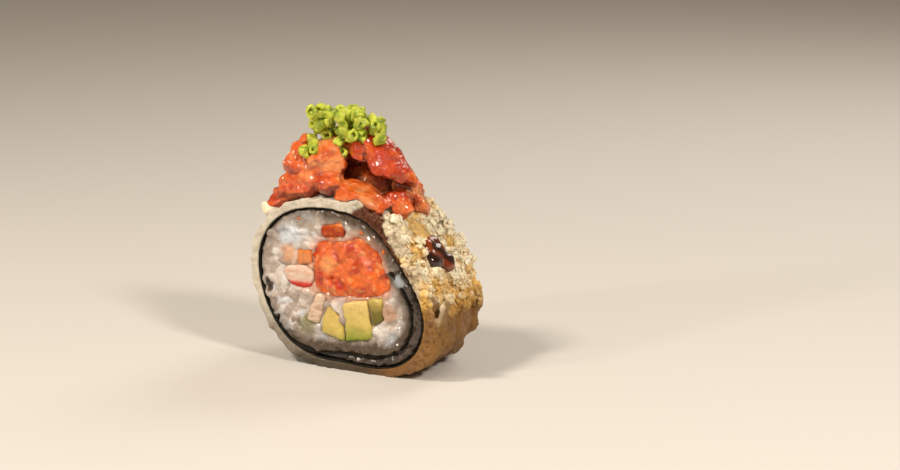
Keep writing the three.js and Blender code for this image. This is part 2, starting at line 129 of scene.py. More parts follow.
@dataclass(frozen=True)
class Finish:
    """How one food takes light. Its colour comes from each piece's own tint.

    Attributes:
        name: The material's name.
        roughness: How dull the surface is, and how much that varies over it.
        ior: Index of refraction.
        depth: How far light travels below the surface, for red, green and blue.
        inside: Share of the light that goes below the surface.
        wet: Share of the surface under a film of water, oil or dressing.
        mottle: Pitch of the fine colour pattern.
        contrast: How far that pattern lightens and darkens the colour.
        relief: Pitch and height of the fine relief.
        grain: How both patterns run.
    """

    name: str
    roughness: tuple[float, float]
    ior: float
    depth: tuple[float, float, float]
    inside: float
    wet: float
    mottle: float
    contrast: float
    relief: tuple[float, float]
    grain: Grain = Grain.EVEN

    def material(self) -> bpy.types.Material:
        """Builds the material, or finds it if it is there already.

        Returns:
            The material, with its patterns on Object coordinates.
        """
        if self.name in bpy.data.materials:
            return bpy.data.materials[self.name]
        material = bpy.data.materials.new(self.name)
        material.use_nodes = True
        tree = material.node_tree
        tree.nodes.clear()
        place = add_node(tree, "ShaderNodeTexCoord").outputs["Object"]
        placed = add_node(
            tree, "ShaderNodeMapping", {"Scale": self.grain.value}, {"Vector": place}
        ).outputs[0]
        tint = add_node(tree, "ShaderNodeAttribute", {"attribute_name": "tint"}).outputs["Color"]
        mottle = self._pattern(tree, placed, self.mottle, 1 - self.contrast, 1 + self.contrast)
        colour = add_node(
            tree, "ShaderNodeHueSaturation", {}, {"Value": mottle, "Color": tint}
        ).outputs[0]
        dull, spread = self.roughness
        roughness = self._pattern(tree, placed, 2 * self.mottle, dull - spread, dull + spread)
        pitch, height = self.relief
        bumps = self._pattern(tree, placed, pitch, 0, 1)
        bump = add_node(
            tree, "ShaderNodeBump", {"Strength": 1.0, "Distance": height * MM}, {"Height": bumps}
        ).outputs[0]
        swells = self._pattern(tree, placed, 2.0 * pitch, 0, 1, detail=1.0)
        film = add_node(
            tree, "ShaderNodeBump", {"Strength": 1.0, "Distance": 0.9 * height * MM}, {"Height": swells}
        ).outputs[0]
        surface = add_node(
            tree,
            "ShaderNodeBsdfPrincipled",
            {
                "IOR": self.ior,
                "Subsurface Weight": self.inside,
                "Subsurface Radius": self.depth,
                "Subsurface Scale": MM,
                "Specular IOR Level": 0.2,
                "Coat Weight": self.wet,
                "Coat Roughness": 0.06,
                "Coat IOR": 1.55,
            },
            {"Base Color": colour, "Roughness": roughness, "Normal": bump, "Coat Normal": film},
        ).outputs[0]
        add_node(tree, "ShaderNodeOutputMaterial", {}, {"Surface": surface})
        return material

    @staticmethod
    def _pattern(
        tree: bpy.types.NodeTree,
        place: bpy.types.NodeSocket,
        pitch: float,
        low: float,
        high: float,
        detail: float = 3.0,
    ) -> bpy.types.NodeSocket:
        """Adds a noise whose blotches are a pitch wide and which runs from low to high."""
        source = add_node(
            tree, "ShaderNodeTexNoise", {"Scale": 1 / (pitch * MM), "Detail": detail}, {"Vector": place}
        ).outputs[0]
        settings = {"From Min": 0.3, "From Max": 0.7, "To Min": low, "To Max": high}
        return add_node(tree, "ShaderNodeMapRange", settings, {"Value": source}).outputs[0]


# Boiled short-grain rice: starch gel, wet and half clear, so light glows through each grain
BOILED_RICE = Finish(
    "boiled_rice", (0.22, 0.1), 1.38, (1.0, 0.9, 0.8), 0.4, 0.9, 0.9, 0.07, (0.7, 0.12)
)
# Toasted seaweed sheet, dried thin and damp again: near black, satin, finely blistered
DAMP_NORI = Finish(
    "damp_nori", (0.55, 0.1), 1.4, (0.2, 0.2, 0.15), 0.02, 0.0, 1.0, 0.35, (0.8, 0.08)
)
# Fried batter and breadcrumb: dry airy starch, matt, cream where pale and golden where browned
FRIED_CRUMB = Finish(
    "fried_crumb", (0.5, 0.14), 1.42, (0.9, 0.6, 0.3), 0.3, 0.1, 1.2, 0.08, (0.4, 0.1)
)
# Minced raw fish in chilli dressing: soft, oily, strongly lit through
DRESSED_FISH = Finish(
    "dressed_fish", (0.24, 0.1), 1.4, (1.2, 0.6, 0.3), 0.35, 0.8, 1.3, 0.12, (0.7, 0.14)
)
# Chopped raw fish under a film of sauce: wet muscle, glossy, with sparkling torn edges
CHOPPED_RAW_FISH = Finish(
    "chopped_raw_fish", (0.2, 0.08), 1.4, (0.9, 0.55, 0.3), 0.3, 1.0, 1.6, 0.12, (0.9, 0.26)
)
# Cut salmon: firm oily muscle, moist
CUT_SALMON = Finish(
    "cut_salmon", (0.3, 0.08), 1.4, (1.5, 0.7, 0.4), 0.4, 0.3, 0.9, 0.1, (0.8, 0.06), Grain.UPRIGHT
)
# Ripe avocado flesh: buttery, satin, faintly streaked by the knife
CUT_AVOCADO = Finish(
    "cut_avocado", (0.36, 0.08), 1.42, (1.2, 1.2, 0.5), 0.35, 0.2, 0.9, 0.07, (1.0, 0.05)
)
# Steamed fish-paste stick: moist white fibres
STEAMED_CRAB = Finish(
    "steamed_crab", (0.34, 0.08), 1.4, (1.6, 1.2, 1.0), 0.5, 0.25, 0.5, 0.08, (0.5, 0.1)
)
# Fresh cut chive: thin damp leaf wall that light shines through
CUT_CHIVE = Finish(
    "cut_chive", (0.34, 0.08), 1.4, (0.7, 1.0, 0.2), 0.4, 0.25, 0.5, 0.16, (0.4, 0.06)
)
# Thick sweet soy glaze: dark syrup, smooth as glass
SOY_GLAZE = Finish(
    "soy_glaze", (0.08, 0.02), 1.45, (0.8, 0.25, 0.1), 0.15, 1.0, 2.0, 0.15, (3.0, 0.05)
)


# Shapes


def wave(x: float, y: float, z: float, pitch: float, phase: float) -> float:
    """The model's own unevenness, about -1 to 1, whose bumps are as wide as a pitch."""
    k = math.tau / pitch
    along = math.sin(k * x + 1.7 * math.sin(0.6 * k * y + phase))
    across = math.sin(k * z - 1.3 * math.sin(0.7 * k * x + 2 * phase))
    through = math.sin(k * y + 1.5 * math.sin(0.5 * k * z + 3 * phase))
    return (along + across + through) / 3


def bumps(place: Vector, pitch: float, phase: float = 0.0) -> float:
    """Finer unevenness from about -1 to 1, whose bumps are as wide as a pitch."""
    return noise.noise(place / pitch + Vector((phase, 2 * phase, 3 * phase)))


def torn(place: Vector, pitch: float, phase: float = 0.0) -> float:
    """Ragged unevenness from 0 to about 1, in three sizes down from a pitch."""
    return noise.turbulence(place / pitch + Vector((phase, phase, 2 * phase)), 3, False)


def modified(bm: Mesh, kind: str, **settings: object) -> Mesh:
    """Runs one modifier over a mesh.

    Args:
        bm: The mesh, which is freed.
        kind: The modifier's type.
        settings: The modifier's properties.

    Returns:
        The changed mesh.
    """
    mesh = bpy.data.meshes.new("work")
    bm.to_mesh(mesh)
    bm.free()
    holder = bpy.data.objects.new("work", mesh)
    bpy.context.scene.collection.objects.link(holder)
    modifier = holder.modifiers.new("work", kind)
    for name, value in settings.items():
        setattr(modifier, name, value)
    result = bmesh.new()
    result.from_object(holder, bpy.context.evaluated_depsgraph_get())
    bpy.data.objects.remove(holder)
    bpy.data.meshes.remove(mesh)
    return result


def pour(part: Mesh, heap: Mesh) -> None:
    """Adds one mesh to another and frees it."""
    mesh = bpy.data.meshes.new("work")
    part.to_mesh(mesh)
    part.free()
    heap.from_mesh(mesh)
    bpy.data.meshes.remove(mesh)


def fused(bm: Mesh, voxel: float, soften: int = 1) -> Mesh:
    """Melts everything in a mesh into one even skin.

    Args:
        bm: The mesh, which is freed.
        voxel: Width of the new skin's faces.
        soften: Rounds of smoothing.

    Returns:
        The fused mesh.
    """
    bm = modified(bm, "REMESH", mode="VOXEL", voxel_size=voxel)
    return modified(bm, "SMOOTH", factor=0.5, iterations=soften)


def carved(bm: Mesh, cutter: Mesh) -> Mesh:
    """Cuts one closed mesh out of another and frees both."""
    mesh = bpy.data.meshes.new("cutter")
    cutter.to_mesh(mesh)
    cutter.free()
    tool = bpy.data.objects.new("cutter", mesh)
    bpy.context.scene.collection.objects.link(tool)
    cut = modified(bm, "BOOLEAN", operation="DIFFERENCE", solver="MANIFOLD", object=tool)
    bpy.data.objects.remove(tool)
    bpy.data.meshes.remove(mesh)
    return cut


def roughen(bm: Mesh, height: Callable[[Vector], float]) -> None:
    """Moves every point of a mesh out along its normal by a height that depends on its place."""
    bm.normal_update()
    moves = [vert.normal * height(vert.co) for vert in bm.verts]
    for vert, move in zip(bm.verts, moves):
        vert.co += move


def shut_in(skin: BVHTree, place: Vector, normal: Vector, reach: float) -> float:
    """Finds how deep in a crevice a point of a surface lies.

    Args:
        skin: The surface.
        place: The point.
        normal: The surface's normal there.
        reach: How far off the crevice's other side may be.

    Returns:
        0 in the open, and up to 1 where the surface closes in from all sides.
    """
    side = normal.orthogonal().normalized()
    across = normal.cross(side)
    near = 0.0
    for lean in (Vector(), side, -side, across, -across):
        hit, _, _, away = skin.ray_cast(place + 0.15 * normal, (normal + lean).normalized(), reach)
        if hit is not None:
            near += 1 - away / reach
    return clamp(near / 2.5)


def turned(at: Sequence[float], turn: Sequence[float], half: Sequence[float]) -> Matrix:
    """A placement that scales, turns about X, then Y, then Z, and moves."""
    spin = Matrix.Identity(3)
    for angle, axis in zip(turn, "XYZ"):
        spin = Matrix.Rotation(math.radians(angle), 3, axis) @ spin
    return Matrix.Translation(at) @ spin.to_4x4() @ Matrix.Diagonal((*half, 1))


@dataclass(frozen=True)
class Lump:
    """A lump of food with half-sizes, like the model's own.

    Attributes:
        at: Its middle.
        half: Its half-sizes.
        turn: Its turns about X, Y and Z.
        square: 2 for a ball, and more for a blockier lump.
        facets: How many flat knife cuts it has.
        rough: How uneven it is, as a share of its size.
        detail: Rounds of splitting its faces.
    """

    at: tuple[float, float, float]
    half: tuple[float, float, float]
    turn: tuple[float, float, float] = (0, 0, 0)
    square: float = 2.0
    facets: int = 0
    rough: float = 0.1
    detail: int = 4

    def add_to(self, bm: Mesh, seed: int) -> None:
        """Adds the lump to a mesh.

        Args:
            bm: The mesh that takes the lump.
            seed: Chooses its cuts and bumps.
        """
        roll = random.Random(seed)
        cuts = [(self._direction(roll), roll.uniform(0.62, 0.88)) for _ in range(self.facets)]
        placement = turned(self.at, self.turn, self.half)
        ball = bmesh.new()
        bmesh.ops.create_icosphere(ball, subdivisions=self.detail, radius=1)
        for vert in ball.verts:
            out = vert.co.normalized()
            reach = 1 / sum(abs(part) ** self.square for part in out) ** (1 / self.square)
            for normal, depth in cuts:
                facing = out.dot(normal)
                if facing > 0.1:
                    reach = min(reach, depth / facing)
            reach *= 1 + self.rough * bumps(out, 0.6, seed) + 0.5 * self.rough * bumps(out, 0.25, seed)
            vert.co = placement @ (out * reach)
        pour(ball, bm)

    @staticmethod
    def _direction(roll: random.Random) -> Vector:
        """Draws a direction at random."""
        return Vector([roll.gauss(0, 1) for _ in range(3)]).normalized()


def closed_band(around: int, along: int, place: Callable[[float, float], Vector]) -> Mesh:
    """Makes a closed ring of any section from a grid that is rolled up both ways.

    Args:
        around: Faces round the ring.
        along: Faces round its section.
        place: The point for a share of the way round the ring and round the section.

    Returns:
        The ring, its faces outwards.
    """
    bm = bmesh.new()
    bmesh.ops.create_grid(bm, x_segments=around, y_segments=along, size=1)
    for vert in bm.verts:
        vert.co = place((vert.co.x + 1) / 2, (vert.co.y + 1) / 2)
    bmesh.ops.remove_doubles(bm, verts=bm.verts, dist=1e-4)
    bmesh.ops.recalc_face_normals(bm, faces=bm.faces)
    return bm


def prism(outline: Outline, front: float, back: float, bevel: float = 0.0) -> Mesh:
    """Draws an outline in the XZ plane out along Y.

    Args:
        outline: Corners as X and Z.
        front: Y of the near end.
        back: Y of the far end.
        bevel: Width of the rounding along every edge.

    Returns:
        The closed prism.
    """
    bm = bmesh.new()
    face = bm.faces.new([bm.verts.new((x, front, z)) for x, z in outline])
    made = bmesh.ops.extrude_face_region(bm, geom=[face])["geom"]
    ends = [item for item in made if isinstance(item, bmesh.types.BMVert)]
    bmesh.ops.translate(bm, verts=ends, vec=(0, back - front, 0))
    if bevel:
        bmesh.ops.bevel(
            bm,
            geom=list(bm.edges),
            offset=bevel,
            segments=3,
            profile=0.5,
            affect="EDGES",
            material=-1,
        )
    bmesh.ops.recalc_face_normals(bm, faces=bm.faces)
    return bm


def node_copy(name: str) -> Mesh:
    """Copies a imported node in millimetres, with its loose triangles merged."""
    bm = bmesh.new()
    bm.from_mesh(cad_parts[name].data)
    bmesh.ops.scale(bm, vec=(1 / MM,) * 3, verts=bm.verts)
    bmesh.ops.remove_doubles(bm, verts=bm.verts, dist=1e-3)
    return bm


def keep_beyond(bm: Mesh, y: float, side: int) -> None:
    """Cuts a mesh off at a Y and closes the cut, keeping the part on one side of it."""
    geom = [*bm.verts, *bm.edges, *bm.faces]
    bmesh.ops.bisect_plane(bm, geom=geom, plane_co=(0, y, 0), plane_no=(0, side, 0), clear_inner=True)
    rim = [edge for edge in bm.edges if edge.is_boundary]
    bmesh.ops.triangle_fill(bm, edges=rim, use_beauty=True)
    bmesh.ops.recalc_face_normals(bm, faces=bm.faces)


def soft_outline(bends: Outline, sides: int) -> Outline:
    """Runs a soft closed curve through a few bends.

    Args:
        bends: The bends as X and Z.
        sides: How many points to return.

    Returns:
        Points along the curve.
    """
    points = []
    for i in range(sides):
        whole, t = divmod(i * len(bends) / sides, 1)
        a, b, c, d = (Vector(bends[(int(whole) + k) % len(bends)]) for k in (-1, 0, 1, 2))
        curve = 2 * b + (c - a) * t + (2 * a - 5 * b + 4 * c - d) * t**2 + (3 * b - a - 3 * c + d) * t**3
        points.append(tuple(curve / 2))
    return points


def edge_distance(outline: Outline, x: float, z: float) -> float:
    """Distance from a point to an outline, negative inside it."""
    point = Vector((x, z))
    nearest = math.inf
    inside = False
    for i, end in enumerate(outline):
        start = Vector(outline[i - 1])
        span = Vector(end) - start
        share = clamp((point - start).dot(span) / span.length_squared)
        nearest = min(nearest, (start + span * share - point).length)
        if (start.y > z) != (end[1] > z) and x < span.x * (z - start.y) / span.y + start.x:
            inside = not inside
    return -nearest if inside else nearest


def finish_piece(
    bm: Mesh,
    name: str,
    finish: Finish,
    slot: str,
    tint: Tint,
    stands_for: Sequence[str] = (),
) -> bpy.types.Object:
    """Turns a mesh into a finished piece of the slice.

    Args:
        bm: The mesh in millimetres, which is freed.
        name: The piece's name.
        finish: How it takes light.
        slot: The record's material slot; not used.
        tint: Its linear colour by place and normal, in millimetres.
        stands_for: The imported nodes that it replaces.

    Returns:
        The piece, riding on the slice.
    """
    bm.normal_update()
    colours = []
    for vert in bm.verts:
        colours.extend((*tint(vert.co, vert.normal), 1.0))
    for face in bm.faces:
        face.smooth = True
    bmesh.ops.scale(bm, vec=(MM,) * 3, verts=bm.verts)
    mesh = bpy.data.meshes.new(name)
    bm.to_mesh(mesh)
    bm.free()
    mesh.color_attributes.new("tint", "FLOAT_COLOR", "POINT").data.foreach_set("color", colours)
    mesh.materials.append(finish.material())
    piece = bpy.data.objects.new(name, mesh)
    bpy.context.scene.collection.objects.link(piece)
    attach(piece, BODY)
    if stands_for:
        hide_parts(*stands_for)
    log.info("%s: %d faces", name, len(mesh.polygons))
    return piece


# The slice


@dataclass(frozen=True)
class Section:
    """The roll's egg-shaped section, and the nori wound round it.

    Attributes:
        length: Distance between the cut faces.
        height: Height of the roll's axis.
        radius: Mean radius of the nori's outer face.
        lobes: Waves round that radius, as count, depth and turn.
        gap: Clearance between touching pieces.
        nori: Thickness of the nori.
        seam: Start of the inner end, and sweeps of the overlap and of the ease after it.
        seam_depth: How deep the inner end lies.
        seam_taper: How late the rice in the seam thins out.
    """

    length: float = 23
    height: float = 20.6
    radius: float = 21.16
    lobes: tuple[tuple[float, float, float], ...] = (
        (1, 1.08, 130.6),
        (2, 2.84, 24),
        (3, 0.83, 30.7),
        (4, 0.9, 30.5),
    )
    gap: float = 0.3
    nori: float = 0.6
    seam: tuple[float, float, float] = (20, 132, 26)
    seam_depth: float = 3.5
    seam_taper: float = 2.4

    def point(self, angle: float, offset: float) -> tuple[float, float]:
        """X and Z at an angle in radians, offset outwards from the nori's outer face."""
        waves = [depth * math.cos(n * (angle + math.radians(turn))) for n, depth, turn in self.lobes]
        radius = self.radius + sum(waves) + offset
        return radius * math.cos(angle), self.height + radius * math.sin(angle)

    def outline(self, offset: float, step: int = 3) -> Outline:
        """The section as corners every few degrees."""
        return [self.point(math.radians(a), offset) for a in range(0, 360, step)]

    def angle(self, place: Vector) -> float:
        """The angle in radians of a place, seen from the roll's axis."""
        return math.atan2(place.z - self.height, place.x)

    def room(self, margin: float) -> Outline:
        """What lies within the innermost nori, less a margin."""
        corners = []
        for degrees in range(0, 360, 4):
            inset = self.nori_inset((self.seam[0] - degrees) % 360) + 0.4 + margin
            corners.append(self.point(math.radians(degrees), -inset))
        return corners

    def inside(self, place: Vector) -> float:
        """How far a place lies inside the innermost nori, and less than 0 beyond it."""
        angle = self.angle(place)
        inset = self.nori_inset((self.seam[0] - math.degrees(angle)) % 360) + 0.4
        x, z = self.point(angle, -inset)
        return math.hypot(x, z - self.height) - math.hypot(place.x, place.z - self.height)

    def nori_inset(self, sweep: float) -> float:
        """How far the nori lies inside the section, by the sweep from its inner end."""
        _, overlap, ease = self.seam
        tucked = self.nori + self.gap + 0.1
        if sweep < overlap:
            share = max(0.0, sweep) / overlap
            return tucked + (self.seam_depth - tucked) * (1 - share**self.seam_taper)
        return tucked * (1 - ramp(sweep, overlap, overlap + ease))


@dataclass(frozen=True)
class Strip:
    """A firm filling that runs the length of the roll.

    Attributes:
        node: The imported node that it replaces.
        outline: Corners of its section.
        finish: How it takes light.
        slot: The record's material slot.
        rounding: Width of its rounded edges.
        relief: Pitch and height of its unevenness.
    """

    node: str
    outline: Outline
    finish: Finish
    slot: str
    rounding: float = 0.45
    relief: tuple[float, float] = (3.2, 0.5)

    def tint(self, place: Vector, _normal: Vector) -> Vector:
        """The colour at a place, which each kind of filling gives its own."""
        raise NotImplementedError

    def build(self, section: Section) -> bpy.types.Object:
        """Builds the strip.

        Args:
            section: The roll's section.

        Returns:
            The finished piece.
        """
        reach = section.length / 2 + 0.2
        bm = fused(prism(self.outline, -reach, reach, self.rounding), 0.4)
        pitch, height = self.relief
        roughen(bm, lambda p: height * (bumps(p, pitch, 3) + 0.4 * bumps(p, pitch / 3, 5)) + 0.15)
        return finish_piece(bm, self.node + "_cut", self.finish, self.slot, self.tint, [self.node])


@dataclass(frozen=True)
class Avocado(Strip):
    """A piece of avocado, yellow near the stone and green near the skin."""

    skin: tuple[float, float] = (8.0, 17.5)
    towards_x: float = 0.0
    stone_side: Vector = linear("#DFC27C")
    flesh: Vector = linear("#CFB765")
    skin_side: Vector = linear("#80902C")

    def tint(self, place: Vector, _normal: Vector) -> Vector:
        """Green at the skin's height, through the flesh to the stone side."""
        height = place.z + self.towards_x * place.x + 0.8 * bumps(place, 2.5)
        up = clamp((height - self.skin[0]) / (self.skin[1] - self.skin[0]))
        if up < 0.4:
            return self.skin_side.lerp(self.flesh, up / 0.4)
        return self.flesh.lerp(self.stone_side, (up - 0.4) / 0.6)


@dataclass(frozen=True)
class Salmon(Strip):
    """A block of salmon with a brighter upper edge."""

    deep: Vector = linear("#A83A0A")
    bright: Vector = linear("#DC7A34")

    def tint(self, place: Vector, normal: Vector) -> Vector:
        """Brighter towards the top, with faint pale lines of fat."""
        top = max(z for _, z in self.outline)
        fat = ramp(bumps(Vector((place.x, 0, place.z)), 1.1, 7), 0.15, 0.45)
        return self.deep.lerp(self.bright, clamp(ramp(place.z, top - 1.2, top) + 0.4 * fat))


@dataclass(frozen=True)
class Crab(Strip):
    """White crab stick or shred, with red skin on its lower side where it has any."""

    white: Vector = linear("#E3CBB8")
    pink: Vector = linear("#DDA88E")
    skin: Vector = linear("#C9362A")
    skin_height: float = -99.0

    def tint(self, place: Vector, _normal: Vector) -> Vector:
        """Red below the skin's height, and pink fibres above."""
        fibre = ramp(bumps(Vector((place.x, 0, 3 * place.z)), 2.6, 2), -0.3, 0.6)
        red = 1 - ramp(place.z, self.skin_height, self.skin_height + 0.9)
        return self.white.lerp(self.pink, 0.7 * fibre).lerp(self.skin, red)


FISH_SECTION = soft_outline(
    [
        (-6.5, 18.9), (-7.6, 25), (-6.2, 31), (1.5, 31.7), (5, 33.2),
        (9.8, 31.2), (12.4, 26.5), (14.2, 22.2), (11.8, 19.8), (4, 18.3),
    ],
    36,
)
STRIPS: tuple[Strip, ...] = (
    Avocado(
        "avocado_middle", [(0.9, 16.6), (7.5, 17.9), (9.5, 8.7), (1.7, 7.3)], CUT_AVOCADO, "avocado"
    ),
    Avocado(
        "avocado_left",
        [(-3.3, 15.8), (0.1, 12.6), (1.1, 7.4), (-5.5, 8.7), (-4.6, 12.8)],
        CUT_AVOCADO,
        "avocado",
        skin=(5.0, 17.0),
        stone_side=linear("#CFAE66"),
    ),
    Avocado(
        "avocado_right",
        [(8.1, 18.2), (12.1, 18.9), (12.4, 13.6), (9.4, 11.8)],
        CUT_AVOCADO,
        "avocado",
        skin=(15.5, 24.0),
        skin_side=linear("#75682A"),
    ),
    Salmon(
        "salmon_block_top", [(-5.3, 35.1), (1.2, 36.1), (1.3, 33.2), (-5.1, 32.4)], CUT_SALMON, "salmon"
    ),
    Salmon(
        "salmon_block_left",
        [(-12.2, 28.3), (-8.3, 28.7), (-8.1, 25.3), (-12, 25.1)],
        CUT_SALMON,
        "salmon",
        deep=linear("#D98A55"),
    ),
    Crab(
        "crab_stick",
        soft_outline(
            [(-15.9, 23.4), (-12, 24.5), (-8.3, 24), (-8.1, 20.4), (-10.6, 19.2), (-14.6, 20.1)], 18
        ),
        STEAMED_CRAB,
        "crab",
        skin_height=20.2,
    ),
    Crab(
        "crab_shred",
        [(-6.8, 18.2), (-3.8, 17.8), (-6.3, 10.6), (-9.7, 11.3)],
        STEAMED_CRAB,
        "crab",
        relief=(2.4, 0.2),
        white=linear("#DEC4AC"),
        pink=linear("#A57F63"),
    ),
)


@dataclass(frozen=True)
class Stain:
    """A patch of another colour on the rice's cut face.

    Attributes:
        at: X and Z of its middle.
        reach: How far it spreads.
        colour: Its linear colour.
    """

    at: tuple[float, float]
    reach: float
    colour: Vector


@dataclass(frozen=True)
class Rice:
    """Boiled rice whose single grains show at both cut faces.

    Attributes:
        grain: Length and width of a grain.
        apart: Least distance between the grains' middles.
        sunk: How far their middles lie below the cut.
        slab: Depth of the finely made layer at each cut face.
        backing: How far below the cut the rice closes round the fillings.
        bead: A single pale grain at the top of the seam.
        hollows: X, Z, reach and depth of the places where grains are missing.
    """

    grain: tuple[float, float] = (5.2, 2.3)
    apart: float = 1.7
    sunk: tuple[float, float] = (0.5, 1.25)
    slab: float = 3.0
    backing: float = 0.75
    clear: Vector = linear("#A49488")
    milky: Vector = linear("#E6D9CD")
    bluish: Vector = linear("#CCD4DE")
    dyed: Vector = linear("#D6875C")
    seam: tuple[Vector, Vector] = (linear("#2A1E16"), linear("#53433A"))
    shade: Vector = linear("#564636")
    stains: tuple[Stain, ...] = (
        Stain((11.8, 10.8), 2.6, linear("#F4ECE6")),
        Stain((15.2, 7.9), 3.2, linear("#D3DCE4")),
        Stain((-14.5, 31.7), 4.5, linear("#CDD3DA")),
        Stain((-9.4, 10.2), 3.6, linear("#8B8755")),
        Stain((-10, 23), 6.0, linear("#D9B39B")),
        Stain((12, 31), 4.0, linear("#C79B82")),
        Stain((13.6, 15.8), 3.4, linear("#B98B6C")),
        Stain((-2.2, 32.2), 2.1, linear("#DA6C34")),
        Stain((-14.5, 27.2), 3.4, linear("#D89A6C")),
    )
    bead: Stain = Stain((16.8, 23.8), 1.9, linear("#AFBAC0"))
    hollows: tuple[tuple[float, float, float, float], ...] = (
        (-20.6, 18.6, 2.4, 1.2),
        (-18.4, 10.0, 1.5, 0.8),
    )

    def _grains(self, section: Section, roll: random.Random) -> list[tuple[float, float, float, float]]:
        """Lays grains out over a cut face.

        Args:
            section: The roll's section.
            roll: The source of chance.

        Returns:
            X, Z, direction in degrees and length of each grain, clear of nori and fillings.
        """
        room = section.room(0.75)
        taken = [FISH_SECTION, *(strip.outline for strip in STRIPS)]

        def free(x: float, z: float) -> bool:
            """Whether a point is clear of the nori and every filling."""
            return edge_distance(room, x, z) < 0 and all(edge_distance(o, x, z) > 0.5 for o in taken)

        grains: list[tuple[float, float, float, float]] = []
        for _ in range(7000):
            x = roll.uniform(-24, 25)
            z = roll.uniform(1, 42)
            near = any(math.hypot(px - x, pz - z) < self.apart for px, pz, _, _ in grains)
            if near or not free(x, z):
                continue
            for attempt in range(8):
                bend = roll.uniform(0, 180)
                long = self.grain[0] * roll.uniform(0.75, 1.05) * (1 - 0.07 * attempt)
                reach = long / 2 - 0.8
                dx, dz = reach * math.cos(math.radians(bend)), -reach * math.sin(math.radians(bend))
                if free(x + dx, z + dz) and free(x - dx, z - dz):
                    break
            grains.append((x, z, bend, long))
        return grains

    def _face(self, section: Section, side: int, name: str) -> bpy.types.Object:
        """Builds the rice at one cut face.

        Args:
            section: The roll's section.
            side: -1 for the shown face, 1 for the other.
            name: The piece's name.

        Returns:
            The finished piece.
        """
        roll = random.Random(side + 40)
        cut = section.length / 2
        bm = node_copy("rice")
        keep_beyond(bm, side * (cut - self.slab), side)
        roughen(bm, lambda p: 0.26)
        ends = (side * (cut - self.backing), side * (cut - self.slab))
        pour(prism(section.outline(-0.5), *ends), bm)
        marks: list[tuple[Vector, float]] = []
        for index, (x, z, bend, long) in enumerate(self._grains(section, roll)):
            plump = self.grain[1] / 2 * roll.uniform(0.85, 1.12)
            at = Vector((x, side * (cut - roll.uniform(*self.sunk)), z))
            turn = (0, bend, roll.gauss(0, 12))
            Lump(tuple(at), (long / 2, plump, plump), turn, rough=0.05, detail=3).add_to(bm, index)
            axis = turned((0, 0, 0), turn, (1, 1, 1)) @ Vector((1, 0, 0))
            tone = roll.random()
            marks += [(at + axis * (share * long), tone) for share in (-0.3, 0, 0.3)]
        marks += self._seam_grains(bm, section, roll, side)
        bm = fused(bm, 0.27, 1)
        for vert in bm.verts:
            for x, z, reach, depth in self.hollows:
                off = math.hypot(2 * (vert.co.x - x), vert.co.z - z) + 1.2 * bumps(vert.co, 1.5)
                near = ramp(off, reach, 0.4 * reach)
                vert.co.y -= side * depth * near * ramp(side * vert.co.y, cut - self.slab, cut - 1)
        tree = KDTree(len(marks))
        for index, (point, _) in enumerate(marks):
            tree.insert(point, index)
        tree.balance()
        skin = BVHTree.FromBMesh(bm)

        def tint(place: Vector, normal: Vector) -> Vector:
            """Each grain has its own tone, under painted shade along the nori, at the top, towards the
            bottom and in crevices and hollows.
            """
            _, found, _ = tree.find(place)
            tone = marks[found][1]
            colour = self._stained(place, tone)
            near_fish = 1 - ramp(edge_distance(FISH_SECTION, place.x, place.z), 0.2, 2.6)
            colour = colour.lerp(self.dyed, 0.5 * near_fish)
            # Painted shade: darker along the nori, more so on the right, with a painted shadow of the
            # topping near the top.
            rim = ramp(section.inside(place) + 1.2 * bumps(place, 2.4, 3), 4.4, 0.3)
            rim *= 0.55 + 0.6 * ramp(place.x, -16, 6)
            rim += 0.3 * ramp(place.z + 1.5 * bumps(place, 3, 2), 33, 38)
            # Painted shade: darker towards the bottom.
            low = ramp(place.z + 2 * bumps(place, 3), 14.5, 3)
            # Painted shade in crevices and in the hollows where grains are missing.
            sunk = shut_in(skin, place, normal, 1.5)
            for x, z, reach, _ in self.hollows:
                off = math.hypot(2 * (place.x - x), place.z - z) + 1.2 * bumps(place, 1.5)
                sunk = max(sunk, ramp(off, reach, 0.5 * reach))
            colour = colour.lerp(self.shade, clamp(0.86 * rim + 0.68 * low + 0.6 * sunk))
            # Rice between the nori layers is stained dark, with painted shade in its crevices.
            banded = self.seam[0].lerp(self.seam[1], tone * (1 - 0.8 * sunk))
            colour = colour.lerp(banded, self._between_layers(section, place))
            return self._touched(colour, place, self.bead)

        return finish_piece(bm, name, BOILED_RICE, "rice", tint, ["rice"])

    def _seam_grains(
        self, bm: Mesh, section: Section, roll: random.Random, side: int
    ) -> list[tuple[Vector, float]]:
        """Adds squashed grains between the two layers of nori.

        Args:
            bm: The mesh that takes the grains.
            section: The roll's section.
            roll: The source of chance.
            side: -1 for the shown face, 1 for the other.

        Returns:
            The middle and the tone of each grain.
        """
        start, overlap, _ = section.seam
        marks = []
        for index in range(70):
            sweep = roll.uniform(2, 0.8 * overlap)
            thick = section.nori_inset(sweep) - 0.55
            if thick < 0.5:
                continue
            degrees = start - sweep
            offset = -0.5 - thick * roll.uniform(0.35, 0.65)
            x, z = section.point(math.radians(degrees), offset)
            at = Vector((x, side * (section.length / 2 - roll.uniform(0.5, 0.9)), z))
            half = (0.3 * thick, 0.9, roll.uniform(0.8, 1.6))
            turn = (0, roll.gauss(0, 14) - degrees, 0)
            Lump(tuple(at), half, turn, rough=0.1, detail=3).add_to(bm, index)
            marks.append((at, roll.random()))
        x, z = self.bead.at
        bead = (x, side * (section.length / 2 - 0.2), z)
        Lump(bead, (1.1, 1.0, 1.7), (0, -20, 0), rough=0.08).add_to(bm, 3)
        return marks

    @staticmethod
    def _touched(colour: Vector, place: Vector, stain: Stain) -> Vector:
        """A colour after a stain has spread over it."""
        off = math.hypot(place.x - stain.at[0], place.z - stain.at[1])
        share = 1 - ramp(off + 0.8 * bumps(place, 2), 0.4 * stain.reach, stain.reach)
        return colour.lerp(stain.colour, 0.8 * share)

